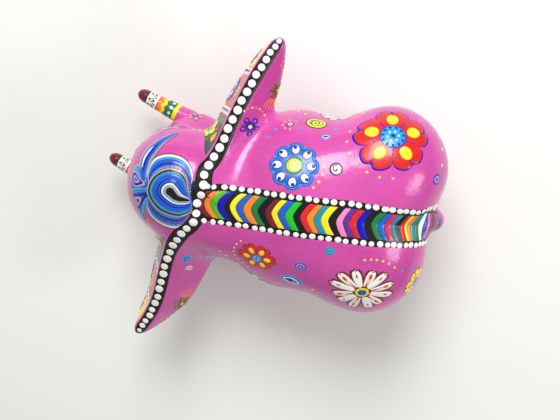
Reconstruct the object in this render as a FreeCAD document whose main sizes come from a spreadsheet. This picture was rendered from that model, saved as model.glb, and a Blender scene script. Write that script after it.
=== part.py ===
import FreeCAD, Part
import math
import os

# Papier-mache elephant: two moulded body halves, a head, modelled ears, tusks, trunk and legs.
# X runs forward to the head, Y to the animal's left, Z up; the soles stand on Z = 0.

SIZES = {
    # body lobes: centre and semi-axes
    "barrel_z": 78.0, "barrel_rx": 78.0, "barrel_ry": 53.0, "barrel_rz": 39.0,
    "haunch_x": -40.0, "haunch_y": 28.0, "haunch_z": 76.0,
    "haunch_rx": 39.0, "haunch_ry": 41.0, "haunch_rz": 37.0,
    "shoulder_x": 16.0, "shoulder_y": 27.0, "shoulder_z": 60.0,
    "shoulder_rx": 28.0, "shoulder_ry": 29.0, "shoulder_rz": 31.0,
    "wall": 4.0,
    # head frame: crown of the neck, turned to the animal's right and tipped a little
    "neck_x": 74.0, "neck_y": 5.0, "neck_z": 116.0, "head_yaw": -19.5, "head_roll": -5.0,
    # head lobes, measured in the head frame
    "nape_x": -18.0, "nape_z": -42.0, "nape_rx": 30.0, "nape_ry": 38.0, "nape_rz": 36.0,
    "cranium_x": 14.0, "cranium_z": -36.0,
    "cranium_rx": 35.5, "cranium_ry": 38.0, "cranium_rz": 34.0,
    "face_x": 30.0, "face_z": -58.0, "face_rx": 20.0, "face_ry": 24.0, "face_rz": 30.0,
    "cheek_x": 18.0, "cheek_y": 24.0, "cheek_z": -74.0,
    "cheek_rx": 20.0, "cheek_ry": 15.0, "cheek_rz": 17.0,
    # neck joint
    "joint_x": -4.0, "bulkhead": 8.0, "collar_z": -40.0, "collar_radius": 21.0,
    "collar_wall": 2.5, "collar_length": 26.0, "fit_gap": 0.15,
    # ears
    "ear_x": -2.0, "ear_y": 12.0, "ear_z": -8.0, "ear_droop": 13.0,
    "ear_length": 104.0, "ear_drop": 64.0, "ear_thick": 20.5, "ear_offset": 9.0,
    "ear_rim": 7.0, "ear_front_spread": 34.0, "ear_back_spread": 62.0, "ear_wedge": 70.0,
    "card_thick": 2.0, "card_start": 20.0, "card_length": 54.0, "card_x": 1.5,
    "card_top": 14.0, "card_width": 22.0,
    # tusks, in the head frame
    "tusk_x": 30.0, "tusk_y": 26.0, "tusk_z": -78.0,
    "tusk_tip_x": 67.0, "tusk_tip_y": 25.5, "tusk_tip_z": -83.0,
    "tusk_root_radius": 7.0, "tusk_tip_radius": 4.6,
    "tusk_pin_radius": 1.5, "tusk_pin_start": 3.0, "tusk_pin_length": 24.0,
    # trunk, in the head frame
    "trunk_x1": 31.0, "trunk_z1": -64.0, "trunk_r1": 14.5,
    "trunk_x2": 36.0, "trunk_z2": -82.0, "trunk_r2": 10.5,
    "trunk_x3": 35.0, "trunk_z3": -94.0, "trunk_r3": 9.0,
    "trunk_x4": 27.0, "trunk_z4": -99.0, "trunk_r4": 7.5,
    "trunk_pin_radius": 2.0, "trunk_pin_back": 12.0, "trunk_pin_length": 30.0,
    # legs
    "rear_leg_x": -42.0, "rear_leg_y": 29.0, "rear_leg_foot": 18.0, "rear_leg_top": 21.0,
    "front_leg_x": 22.0, "front_leg_y": 23.0, "front_leg_foot": 16.5, "front_leg_top": 19.0,
    "leg_top_z": 56.0, "sole_thick": 2.5, "sole_inset": 1.2,
    "dowel_radius": 3.0, "dowel_bottom": 8.0, "dowel_top": 50.0,
    # tail
    "tail_x1": -70.0, "tail_z1": 91.0, "tail_x2": -78.0, "tail_z2": 78.0,
    "tail_x3": -80.0, "tail_z3": 56.0, "tail_x4": -77.0, "tail_z4": 42.0,
    "tail_r1": 7.0, "tail_r2": 5.5, "tail_r3": 4.0, "tail_r4": 6.0,
    "tail_pin_radius": 1.5, "tail_pin_start": -66.0, "tail_pin_length": 13.0,
    # paper strip glued over the inside of the body seam
    "strip_width": 12.0, "strip_thick": 1.2,
    "big": 400.0,
}

doc = FreeCAD.newDocument("Elephant")
sheet = doc.addObject("Spreadsheet::Sheet", "Sizes")
for row, (alias, value) in enumerate(SIZES.items(), start=1):
    sheet.set("A%d" % row, alias)
    sheet.set("B%d" % row, str(value))
    sheet.setAlias("B%d" % row, alias)
doc.recompute()


def size(alias):
    """Value of one named size."""
    return float(sheet.get(alias))


def vec(x, y, z):
    return FreeCAD.Vector(x, y, z)


def turn(axis, angle):
    return FreeCAD.Placement(vec(0, 0, 0), FreeCAD.Rotation(axis, angle))


def shift(x, y, z):
    return FreeCAD.Placement(vec(x, y, z), FreeCAD.Rotation())


AXIS_X = vec(1, 0, 0)
AXIS_Y = vec(0, 1, 0)
AXIS_Z = vec(0, 0, 1)
WORLD = FreeCAD.Placement()
HEAD = shift(size("neck_x"), size("neck_y"), size("neck_z"))
HEAD = HEAD.multiply(turn(AXIS_Z, size("head_yaw"))).multiply(turn(AXIS_X, size("head_roll")))


def primitive(kind, name, bound, place):
    """One Part primitive with its sizes bound to the sheet."""
    item = doc.addObject(kind, name)
    for prop, formula in bound.items():
        item.setExpression(prop, formula)
    item.Placement = place
    return item


def ellipsoid(name, lobe, place, less="0", flat=False):
    """Ellipsoid whose semi-axes are the lobe's named sizes less a wall.

    A flat one has its poles left and right instead of top and bottom, clear of the joins.
    """
    along_z, along_y = ("ry", "rz") if flat else ("rz", "ry")
    bound = {
        "Radius1": "Sizes.%s_%s - %s" % (lobe, along_z, less),
        "Radius2": "Sizes.%s_rx - %s" % (lobe, less),
        "Radius3": "Sizes.%s_%s - %s" % (lobe, along_y, less),
    }
    if flat:
        place = place.multiply(turn(AXIS_X, -90))
    if lobe == "shoulder":
        place = place.multiply(turn(AXIS_Z, 180))
    return primitive("Part::Ellipsoid", name, bound, place)


def fuse(name, items):
    joined = doc.addObject("Part::MultiFuse", name)
    joined.Shapes = items
    return joined


def common(name, items):
    joined = doc.addObject("Part::MultiCommon", name)
    joined.Shapes = items
    return joined


def cut(name, base, tool):
    rest = doc.addObject("Part::Cut", name)
    rest.Base = base
    rest.Tool = tool
    return rest


def carve(name, base, tools):
    """Take the tools away one after another."""
    rest = base
    for i, tool in enumerate(tools):
        rest = cut("%s_%d" % (name, i), rest, tool)
    return rest


def block(name, place, width, depth, height):
    """Box with its three edges given as sheet formulas."""
    bound = {"Length": width, "Width": depth, "Height": height}
    return primitive("Part::Box", name, bound, place)


def along(start, end):
    """Placement that puts its Z axis on the line from start to end."""
    return FreeCAD.Placement(start, FreeCAD.Rotation(AXIS_Z, end - start))


def rod(name, start, end, radius, length, frame):
    """Round rod from start towards end, radius and length as formulas."""
    place = frame.multiply(along(start, end))
    return primitive("Part::Cylinder", name, {"Radius": radius, "Height": length}, place)


def taper(name, start, end, radius_1, radius_2, frame):
    """Cone frustum between two points."""
    bound = {"Radius1": radius_1, "Radius2": radius_2}
    cone = primitive("Part::Cone", name, bound, frame.multiply(along(start, end)))
    cone.Height = (end - start).Length
    return cone


def ball(name, centre, radius, frame):
    place = frame.multiply(FreeCAD.Placement(centre, FreeCAD.Rotation()))
    return primitive("Part::Sphere", name, {"Radius": radius}, place)


def chain(name, points, radii, frame):
    """Tapered tube with round knuckles through the points."""
    items = []
    for i, point in enumerate(points):
        items.append(ball("%s_knuckle_%d" % (name, i), point, radii[i], frame))
    for i in range(len(points) - 1):
        piece = taper("%s_span_%d" % (name, i), points[i], points[i + 1],
                      radii[i], radii[i + 1], frame)
        items.append(piece)
    return fuse(name + "_form", items)


def lobes(prefix, less):
    """The five body lobes and the nape, each drawn in by one wall."""
    middle = shift(0, 0, size("barrel_z"))
    items = [ellipsoid(prefix + "_barrel", "barrel", middle, less, True)]
    for side, sign in (("left", 1), ("right", -1)):
        for lobe in ("haunch", "shoulder"):
            at = shift(size(lobe + "_x"), sign * size(lobe + "_y"), size(lobe + "_z"))
            items.append(ellipsoid("%s_%s_%s" % (prefix, lobe, side), lobe, at, less, True))
    items.append(ellipsoid(prefix + "_nape", "nape", nape_place(), less, True))
    return items


def nape_place():
    return HEAD.multiply(shift(size("nape_x"), 0, size("nape_z")))


def head_lobe(prefix, lobe, less, side=0):
    y = side * size(lobe + "_y") if side else 0
    at = HEAD.multiply(shift(size(lobe + "_x"), y, size(lobe + "_z")))
    return ellipsoid("%s_%s_%d" % (prefix, lobe, side + 1), lobe, at, less)


def half_space(name, x, forward):
    """Large block on one side of a plane square to the head axis."""
    big = size("big")
    start = x if forward else x - big
    place = HEAD.multiply(shift(start, -big / 2, -big / 2))
    return block(name, place, "Sizes.big", "Sizes.big", "Sizes.big")


def build_neck_tools():
    """Bore through both bulkheads for the collar."""
    x = size("joint_x") - size("collar_length") / 2
    start = vec(x, 0, size("collar_z"))
    end = vec(x + 1, 0, size("collar_z"))
    gap = "Sizes.collar_radius + Sizes.fit_gap"
    return (rod("neck_bore_body", start, end, gap, "Sizes.collar_length", HEAD),
            rod("neck_bore_head", start, end, gap, "Sizes.collar_length", HEAD))


def leg_points():
    """Name, centre and size prefix of each leg."""
    rows = []
    for end in ("front", "rear"):
        for side, sign in (("left", 1), ("right", -1)):
            x = size(end + "_leg_x")
            y = sign * size(end + "_leg_y")
            rows.append(("%s_%s" % (end, side), x, y, end + "_leg"))
    return rows


def dowel(name, x, y, gap):
    start = vec(x, y, size("dowel_bottom"))
    radius = "Sizes.dowel_radius + %s" % gap
    length = "Sizes.dowel_top - Sizes.dowel_bottom"
    return rod(name, start, start + AXIS_Z, radius, length, WORLD)


def tail_rod(name, gap):
    start = vec(size("tail_pin_start"), 0, size("tail_z1") - 8)
    return rod(name, start, start - AXIS_X, "Sizes.tail_pin_radius + %s" % gap,
               "Sizes.tail_pin_length", WORLD)


def tusk_ends(sign):
    start = vec(size("tusk_x"), sign * size("tusk_y"), size("tusk_z"))
    end = vec(size("tusk_tip_x"), sign * size("tusk_tip_y"), size("tusk_tip_z"))
    return start, end


def tusk_rod(name, sign, gap):
    start, end = tusk_ends(sign)
    way = (end - start).normalize()
    return rod(name, start + way * size("tusk_pin_start"), end,
               "Sizes.tusk_pin_radius + %s" % gap, "Sizes.tusk_pin_length", HEAD)


def trunk_rod(name, gap):
    start = vec(size("trunk_x1"), 0, size("trunk_z1"))
    end = vec(size("trunk_x2"), 0, size("trunk_z2"))
    way = (end - start).normalize()
    return rod(name, start - way * size("trunk_pin_back"), end,
               "Sizes.trunk_pin_radius + %s" % gap, "Sizes.trunk_pin_length", HEAD)


def ear_frame(sign):
    """X forward, Y down the ear, Z along the rim; outwards for the left ear."""
    at = HEAD.multiply(shift(size("ear_x"), sign * size("ear_y"), size("ear_z")))
    return at.multiply(turn(AXIS_X, -90 - sign * size("ear_droop")))


def ear_form(side, sign):
    """Lens of the ear cut to a narrow rim by a wedge that opens downwards."""
    frame = ear_frame(sign)
    tilt = math.degrees(math.atan2(size("ear_offset"), size("ear_length")))
    place = frame.multiply(shift(-size("ear_offset"), 0, 0)).multiply(turn(AXIS_Y, sign * tilt))
    lens = primitive("Part::Ellipsoid", "ear_lens_" + side, {
        "Radius1": "Sizes.ear_length", "Radius2": "Sizes.ear_thick",
        "Radius3": "Sizes.ear_drop"}, place)
    wedge = primitive("Part::Wedge", "ear_wedge_" + side, {
        "Xmin": "-Sizes.ear_rim / 2", "Xmax": "Sizes.ear_rim / 2",
        "Ymin": "0", "Ymax": "Sizes.ear_wedge",
        "X2min": "-Sizes.ear_back_spread", "X2max": "Sizes.ear_front_spread"}, frame)
    reach = size("big")
    low, high = (0, reach) if sign > 0 else (-reach, 0)
    wedge.Zmin = low
    wedge.Z2min = low
    wedge.Zmax = high
    wedge.Z2max = high
    return common("ear_form_" + side, [lens, wedge])


def ear_card(name, sign, gap):
    """Card strip that runs from the head wall into the ear."""
    start = size("card_start") if sign > 0 else -size("card_start") - size("card_length")
    corner = shift(size("card_x") - size("card_thick") / 2 - gap, size("card_top") - gap, start - gap)
    place = ear_frame(sign).multiply(corner)
    return block(name, place, "Sizes.card_thick + %g" % (2 * gap),
                 "Sizes.card_width + %g" % (2 * gap), "Sizes.card_length + %g" % (2 * gap))


GAP = "Sizes.fit_gap"
nodes = {}


def keep(name, item):
    item.Label = name
    nodes[name] = item


def build_body():
    """Two moulded halves, closed at the neck by a bulkhead with the collar bore."""
    joint = size("joint_x")
    outer = common("body_outer", [fuse("body_lobes", lobes("outer", "0")),
                                  half_space("behind_neck", joint, False)])
    cavity = common("body_cavity", [fuse("cavity_lobes", lobes("inner", "Sizes.wall")),
                                    half_space("behind_bulkhead", joint - size("bulkhead"), False)])
    bore, head_bore = build_neck_tools()
    tools = [cavity, bore, tail_rod("tail_hole_body", GAP)]
    for name, x, y, prefix in leg_points():
        tools.append(dowel("dowel_hole_body_" + name, x, y, GAP))
    shell = cut("body_shell", outer, fuse("body_openings", tools))
    big = size("big")
    for side, y in (("left", 0), ("right", -big)):
        half = block("half_" + side, shift(-big / 2, y, -big / 2),
                     "Sizes.big", "Sizes.big", "Sizes.big")
        keep("body_shell_" + side, common("body_half_" + side, [shell, half]))
    return outer, cavity, head_bore


def build_strip(cavity):
    """Thin paper strip round the inside of the seam."""
    width = size("strip_width")
    slab = block("strip_slab", shift(-size("big") / 2, -width / 2, -size("big") / 2),
                 "Sizes.big", "Sizes.strip_width", "Sizes.big")
    core = common("strip_core", [fuse("strip_core_lobes", lobes("core", "Sizes.wall - Sizes.strip_thick")),
                                 half_space("strip_end", size("joint_x") - size("bulkhead"), False)])
    band = common("strip_band", [cavity, slab])
    x = size("joint_x") - size("collar_length") / 2 - 1
    start = vec(x, 0, size("collar_z"))
    mouth = rod("strip_mouth", start, start + AXIS_X, "Sizes.collar_radius + 4 * Sizes.fit_gap",
                "Sizes.collar_length", HEAD)
    tail = tail_rod("tail_hole_strip", GAP)
    keep("seam_strip", cut("strip_cut", band, fuse("strip_tools", [core, mouth, tail])))


def build_head(head_bore):
    """Hollow head with solid cheeks; returns its outer form for the fitted pieces."""
    joint = size("joint_x")
    forms = [head_lobe("outer", "cranium", "0"), head_lobe("outer", "face", "0"),
             head_lobe("outer", "cheek", "0", 1), head_lobe("outer", "cheek", "0", -1),
             ellipsoid("outer_nape_head", "nape", nape_place())]
    outer = common("head_outer", [fuse("head_lobes", forms), half_space("before_neck", joint, True)])
    wall = "Sizes.wall"
    rooms = [head_lobe("inner", "cranium", wall), head_lobe("inner", "face", wall),
             ellipsoid("inner_nape_head", "nape", nape_place(), wall)]
    cavity = common("head_cavity", [fuse("head_rooms", rooms),
                                    half_space("before_bulkhead", joint + size("bulkhead"), True)])
    gap = size("fit_gap")
    tools = [cavity, head_bore, trunk_rod("trunk_hole_head", GAP)]
    for side, sign in (("left", 1), ("right", -1)):
        tools.append(tusk_rod("tusk_hole_head_" + side, sign, GAP))
        tools.append(ear_card("card_slot_head_" + side, sign, gap))
    keep("head_shell", cut("head_cut", outer, fuse("head_openings", tools)))
    return outer


def build_collar():
    x = size("joint_x") - size("collar_length") / 2
    start = vec(x, 0, size("collar_z"))
    tube = rod("collar_tube", start, start + AXIS_X, "Sizes.collar_radius",
               "Sizes.collar_length", HEAD)
    hole = rod("collar_hole", start, start + AXIS_X, "Sizes.collar_radius - Sizes.collar_wall",
               "Sizes.collar_length", HEAD)
    keep("neck_collar", cut("collar_cut", tube, hole))


def build_ears(body_outer, head_outer):
    gap = size("fit_gap")
    for side, sign in (("left", 1), ("right", -1)):
        keep("ear_card_" + side, ear_card("card_" + side, sign, 0))
        tools = [body_outer, head_outer, ear_card("card_slot_ear_" + side, sign, gap)]
        keep("ear_" + side, carve("ear_cut_" + side, ear_form(side, sign), tools))


def build_tusks(head_outer):
    for side, sign in (("left", 1), ("right", -1)):
        start, end = tusk_ends(sign)
        cone = taper("tusk_cone_" + side, start, end, "Sizes.tusk_root_radius",
                     "Sizes.tusk_tip_radius", HEAD)
        tip = ball("tusk_end_" + side, end, "Sizes.tusk_tip_radius", HEAD)
        form = fuse("tusk_form_" + side, [cone, tip])
        tools = [head_outer, tusk_rod("tusk_bore_" + side, sign, GAP)]
        keep("tusk_" + side, carve("tusk_cut_" + side, form, tools))
        keep("tusk_pin_" + side, tusk_rod("tusk_rod_" + side, sign, "0"))


def build_trunk(head_outer):
    points = [vec(size("trunk_x%d" % i), 0, size("trunk_z%d" % i)) for i in range(1, 5)]
    radii = ["Sizes.trunk_r%d" % i for i in range(1, 5)]
    tools = [head_outer, trunk_rod("trunk_bore", GAP)]
    keep("trunk", carve("trunk_cut", chain("trunk", points, radii, HEAD), tools))
    keep("trunk_pin", trunk_rod("trunk_rod", "0"))


def build_legs(body_outer):
    for name, x, y, prefix in leg_points():
        foot = vec(x, y, size("sole_thick"))
        top = vec(x, y, size("leg_top_z"))
        column = taper("column_" + name, foot, top, "Sizes.%s_foot" % prefix,
                       "Sizes.%s_top" % prefix, WORLD)
        tools = [body_outer, dowel("dowel_bore_" + name, x, y, GAP)]
        keep("leg_" + name, carve("leg_cut_" + name, column, tools))
        keep("leg_dowel_" + name, dowel("dowel_" + name, x, y, "0"))
        ground = vec(x, y, 0)
        keep("sole_" + name, rod("sole_disc_" + name, ground, ground + AXIS_Z,
                                 "Sizes.%s_foot - Sizes.sole_inset" % prefix,
                                 "Sizes.sole_thick", WORLD))


def build_tail(body_outer):
    points = [vec(size("tail_x%d" % i), 0, size("tail_z%d" % i)) for i in range(1, 5)]
    radii = ["Sizes.tail_r%d" % i for i in range(1, 5)]
    tools = [body_outer, tail_rod("tail_bore", GAP)]
    keep("tail", carve("tail_cut", chain("tail", points, radii, WORLD), tools))
    keep("tail_pin", tail_rod("tail_rod", "0"))


def centre_on_floor():
    """Move every node so the whole figure stands centred over the origin."""
    whole = FreeCAD.BoundBox()
    for item in nodes.values():
        whole.add(item.Shape.optimalBoundingBox())
    move = shift(-(whole.XMin + whole.XMax) / 2, -(whole.YMin + whole.YMax) / 2, -whole.ZMin)
    for item in nodes.values():
        item.Placement = move.multiply(item.Placement)


def check_shapes():
    for item in doc.Objects:
        if "Invalid" in item.State or "Error" in item.State:
            raise RuntimeError("object %s did not compute" % item.Name)
    for name, item in nodes.items():
        if item.Shape.isNull() or not item.Shape.isValid() or len(item.Shape.Solids) != 1:
            raise RuntimeError("node %s: valid %s, %d solids" % (
                name, item.Shape.isValid(), len(item.Shape.Solids)))


body_outer, body_cavity, head_bore = build_body()
build_strip(body_cavity)
head_outer = build_head(head_bore)
build_collar()
build_ears(body_outer, head_outer)
build_tusks(head_outer)
build_trunk(head_outer)
build_legs(body_outer)
build_tail(body_outer)
doc.recompute()
check_shapes()
centre_on_floor()
doc.recompute()
check_shapes()

os.makedirs("parts", exist_ok=True)
for node_name, node in nodes.items():
    node.Shape.exportStep("parts/%s.step" % node_name)
    box = node.Shape.BoundBox
    print("%-24s volume %10.1f  x %.1f..%.1f y %.1f..%.1f z %.1f..%.1f" % (
        node_name, node.Shape.Volume, box.XMin, box.XMax, box.YMin, box.YMax, box.ZMin, box.ZMax))
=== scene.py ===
"""Hand-painted papier-mache elephant: moulded skin, raised brushwork and a pale table."""

import logging
import math
from dataclasses import dataclass, field
from enum import Enum
from typing import Callable, Optional, Sequence

import bpy
import numpy as np
import openvdb as vdb
from mathutils import Matrix, Vector


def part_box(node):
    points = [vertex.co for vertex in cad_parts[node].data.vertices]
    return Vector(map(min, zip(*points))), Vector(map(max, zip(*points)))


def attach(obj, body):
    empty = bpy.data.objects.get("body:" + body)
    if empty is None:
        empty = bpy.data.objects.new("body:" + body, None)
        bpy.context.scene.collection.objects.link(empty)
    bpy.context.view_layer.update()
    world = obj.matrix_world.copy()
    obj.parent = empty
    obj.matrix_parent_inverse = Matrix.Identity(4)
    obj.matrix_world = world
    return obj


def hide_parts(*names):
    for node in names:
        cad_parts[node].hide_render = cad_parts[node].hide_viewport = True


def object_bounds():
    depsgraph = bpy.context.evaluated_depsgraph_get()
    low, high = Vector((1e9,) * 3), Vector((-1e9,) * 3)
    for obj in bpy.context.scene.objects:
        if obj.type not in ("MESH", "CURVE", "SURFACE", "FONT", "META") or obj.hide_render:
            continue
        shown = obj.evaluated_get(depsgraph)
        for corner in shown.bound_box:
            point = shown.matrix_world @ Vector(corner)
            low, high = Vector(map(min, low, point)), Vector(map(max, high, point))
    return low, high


Array = np.ndarray
MM = 0.001
LOG = logging.getLogger("elephant")

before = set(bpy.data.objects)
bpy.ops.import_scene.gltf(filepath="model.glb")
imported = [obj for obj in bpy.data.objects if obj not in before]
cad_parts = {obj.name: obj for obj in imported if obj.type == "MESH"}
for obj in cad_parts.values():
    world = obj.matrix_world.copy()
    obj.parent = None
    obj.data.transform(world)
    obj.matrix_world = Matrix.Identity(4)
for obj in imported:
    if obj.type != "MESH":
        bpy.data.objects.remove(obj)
CAD_BOX = [list(corner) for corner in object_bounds()]


# ---------------------------------------------------------------- colours and finishes

def linear(hex_colour: str) -> tuple[float, float, float, float]:
    """Turn an sRGB hex colour into linear light.

    Args:
        hex_colour: six hex digits.
    Returns:
        Red, green, blue and alpha, linear.
    """
    parts = [int(hex_colour[i:i + 2], 16) / 255 for i in (0, 2, 4)]
    lit = [p / 12.92 if p <= 0.04045 else ((p + 0.055) / 1.055) ** 2.4 for p in parts]
    return (lit[0], lit[1], lit[2], 1.0)


def add_node(tree: bpy.types.NodeTree, kind: str, settings: Optional[dict] = None,
             inputs: Optional[dict] = None, links: Optional[dict] = None) -> bpy.types.Node:
    """Add one shader node with its settings, socket values and links.

    Args:
        tree: node tree to add to.
        kind: Blender's name of the node type.
        settings: node properties by name.
        inputs: socket values by socket name or number.
        links: output sockets to plug in, by input socket name or number.
    Returns:
        The new node.
    """
    node = tree.nodes.new(kind)
    for name, value in (settings or {}).items():
        setattr(node, name, value)
    for name, value in (inputs or {}).items():
        node.inputs[name].default_value = value
    for name, source in (links or {}).items():
        tree.links.new(source, node.inputs[name])
    return node


def start_material(name: str) -> tuple[bpy.types.Material, bpy.types.NodeTree, bpy.types.Node]:
    """Make an empty node material with its output node.

    Args:
        name: its name.
    Returns:
        The material, its tree and its output node.
    """
    material = bpy.data.materials.new(name)
    material.use_nodes = True
    tree = material.node_tree
    tree.nodes.clear()
    return material, tree, add_node(tree, "ShaderNodeOutputMaterial")


@dataclass(frozen=True)
class Lacquer:
    """Acrylic colour brushed on paper pulp under a gloss spirit varnish.

    The varnish gives sharp soft-box glints; the brush leaves faint streaks of lighter
    and darker colour a millimetre or two apart; the pulp below leaves shallow dimples.
    """

    name: str
    colour: str
    deep: str
    pale: str
    dimple: float = 0.25
    streak_mm: float = 2.2
    gloss: float = 0.17
    varnish: float = 0.8

    def build(self) -> bpy.types.Material:
        """Build the material.

        Returns:
            A node material on Object coordinates.
        """
        material, tree, out = start_material(self.name)
        place = add_node(tree, "ShaderNodeTexCoord")
        stretch = add_node(tree, "ShaderNodeMapping", inputs={"Scale": (0.35, 1.0, 0.8)},
                           links={"Vector": place.outputs["Object"]})
        streaks = add_node(tree, "ShaderNodeTexNoise",
                           inputs={"Scale": 1 / (self.streak_mm * MM), "Detail": 4.0,
                                   "Roughness": 0.6, "Distortion": 0.4},
                           links={"Vector": stretch.outputs["Vector"]})
        clouds = add_node(tree, "ShaderNodeTexNoise",
                          inputs={"Scale": 1 / (38 * MM), "Detail": 2.0},
                          links={"Vector": place.outputs["Object"]})
        tone = add_node(tree, "ShaderNodeMix", {"data_type": "RGBA"},
                        {"A": linear(self.deep), "B": linear(self.colour)})
        ramp = add_node(tree, "ShaderNodeMapRange",
                        inputs={"From Min": 0.30, "From Max": 0.62},
                        links={"Value": clouds.outputs["Fac"]})
        tree.links.new(ramp.outputs["Result"], tone.inputs["Factor"])
        thin = add_node(tree, "ShaderNodeMapRange",
                        inputs={"From Min": 0.45, "From Max": 0.85, "To Max": 0.3},
                        links={"Value": streaks.outputs["Fac"]})
        mixed = add_node(tree, "ShaderNodeMix", {"data_type": "RGBA"},
                         {"B": linear(self.pale)},
                         {"A": tone.outputs["Result"], "Factor": thin.outputs["Result"]})
        pulp = add_node(tree, "ShaderNodeTexNoise",
                        inputs={"Scale": 1 / (7.5 * MM), "Detail": 2.5, "Roughness": 0.45},
                        links={"Vector": place.outputs["Object"]})
        low = add_node(tree, "ShaderNodeBump",
                       inputs={"Strength": self.dimple, "Distance": 0.0011},
                       links={"Height": pulp.outputs["Fac"]})
        fine = add_node(tree, "ShaderNodeBump",
                        inputs={"Strength": 0.10, "Distance": 0.0003},
                        links={"Height": streaks.outputs["Fac"], "Normal": low.outputs["Normal"]})
        shader = add_node(tree, "ShaderNodeBsdfPrincipled",
                          inputs={"Roughness": 0.42, "IOR": 1.45, "Specular IOR Level": 0.25,
                                  "Coat Weight": self.varnish,
                                  "Coat Roughness": self.gloss, "Coat IOR": 1.5},
                          links={"Base Color": mixed.outputs["Result"],
                                 "Normal": fine.outputs["Normal"],
                                 "Coat Normal": low.outputs["Normal"]})
        tree.links.new(shader.outputs["BSDF"], out.inputs["Surface"])
        return material


class Paint(Enum):
    """Pots of acrylic colour on the painter's bench: colour, deeper tone, paler tone."""

    PINK = ("D24CA6", "C23C97", "DE66B6")
    BLACK = ("0E100F", "080909", "1E2220")
    WHITE = ("F6F5F0", "E9E7DE", "FFFFFF")
    MAROON = ("7A1418", "5E0C10", "94242A")
    ORANGE = ("FF8A1C", "F0740C", "FFA640")
    LIME = ("5CB81A", "489E10", "7ACC34")
    NAVY = ("0606B8", "03048C", "1018D0")
    YELLOW = ("FFE81E", "F6D408", "FFF25C")
    BLUE = ("0F5FC8", "0A4CAC", "2E7CE0")
    SKY = ("3E9CEC", "2A84DA", "74BCF6")
    GREEN = ("0C8040", "066830", "209A56")
    BRIGHT_GREEN = ("12C81E", "08B012", "40DC48")
    RED = ("E01A20", "C60C12", "F03C3C")
    TEAL = ("1A90A8", "0E7890", "3CB0C4")
    PALE_PINK = ("F08CC8", "E674B8", "FAB0DC")
    PURPLE = ("6A22A0", "541484", "843CBC")
    CRIMSON = ("D8205E", "BE104A", "E84478")
    BOTTLE = ("0F4A38", "08382A", "226250")
    BRICK = ("D8332A", "C0241C", "E85044")
    LEMON = ("F2E04A", "E6D02E", "FAEE80")
    TAN = ("C8A878", "B49260", "D8BE94")
    RUST = ("A8401C", "8C300E", "C45A30")
    AQUA = ("12A6E6", "0890D0", "30C0F4")
    LILAC = ("B49CE8", "9C82D8", "CCBAF4")
    CREAM = ("F4F0DC", "E8E2C6", "FFFDF0")

    def material(self) -> bpy.types.Material:
        """The pot's lacquer, built once.

        Returns:
            A node material.
        """
        name = "lacquer_" + self.name.lower()
        made = bpy.data.materials.get(name)
        if made:
            return made
        colour, deep, pale = self.value
        dimple = 0.25 if self is Paint.PINK else 0.12
        varnish = 0.4 if self in (Paint.BLACK, Paint.NAVY) else 0.8
        return Lacquer(name, colour, deep, pale, dimple, varnish=varnish).build()


# ---------------------------------------------------------------- signed fields

SLOPE_STEP = 0.4    # mm either side when the slope is measured
CAST_STEPS = 26     # steps from a start to the skin
CAST_SHARE = 0.9    # part of the distance left that a step covers
CAST_REACH = 130.0  # mm at most from a start to the skin


def join(a: Array, b: Array, blend: float) -> Array:
    """Union of two fields with a fillet: where they are within the blend of each other
    the smaller one is lowered by a quarter of the blend times one minus their gap squared."""
    near = np.clip(0.5 + 0.5 * (b - a) / blend, 0, 1)
    return b * (1 - near) + a * near - blend * near * (1 - near)


def trim(a: Array, b: Array, blend: float) -> Array:
    """Intersection of two fields with a rounded edge, the union turned inside out."""
    return -join(-a, -b, blend)


def ellipsoid(points: Array, centre: Sequence[float], radii: Sequence[float]) -> Array:
    """Distance to an ellipsoid, near enough: k0 times k0 less one over k1, where k0 is the
    length of the point over the radii and k1 its length over the radii squared.

    Args:
        points: points in millimetres.
        centre: its middle.
        radii: its half axes.
    Returns:
        A distance for each point.
    """
    scaled = (points - np.array(centre, np.float32)) / np.array(radii, np.float32)
    k0 = np.sqrt((scaled ** 2).sum(-1))
    k1 = np.sqrt(((scaled / np.array(radii, np.float32)) ** 2).sum(-1))
    return k0 * (k0 - 1) / np.maximum(k1, 1e-9)


def limb(points: Array, start: Sequence[float], end: Sequence[float],
         radius_1: float, radius_2: float) -> Array:
    """Distance to a tapered round limb: distance to the line from start to end, less a
    radius that runs evenly from the first to the second.

    Args:
        points: points in millimetres.
        start: where it begins.
        end: where it ends.
        radius_1: radius at the start.
        radius_2: radius at the end.
    Returns:
        A distance for each point.
    """
    start, end = np.array(start, np.float32), np.array(end, np.float32)
    way = end - start
    share = np.clip(((points - start) @ way) / (way @ way), 0, 1)
    away = points - start - share[:, None] * way
    return np.sqrt((away ** 2).sum(-1)) - (radius_1 + (radius_2 - radius_1) * share)


@dataclass(frozen=True)
class Place:
    """A turned and moved set of axes, in millimetres of the row frame."""

    origin: Array
    axes: Array

    def local(self, points: Array) -> Array:
        """Row points seen from here."""
        return (points - self.origin) @ self.axes

    def row(self, points: Array) -> Array:
        """Local points in the row frame."""
        return points @ self.axes.T + self.origin


def mirrored(points: Array) -> Array:
    """The same points with both sides folded onto the left."""
    return np.stack([points[:, 0], np.abs(points[:, 1]), points[:, 2]], -1)


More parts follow.
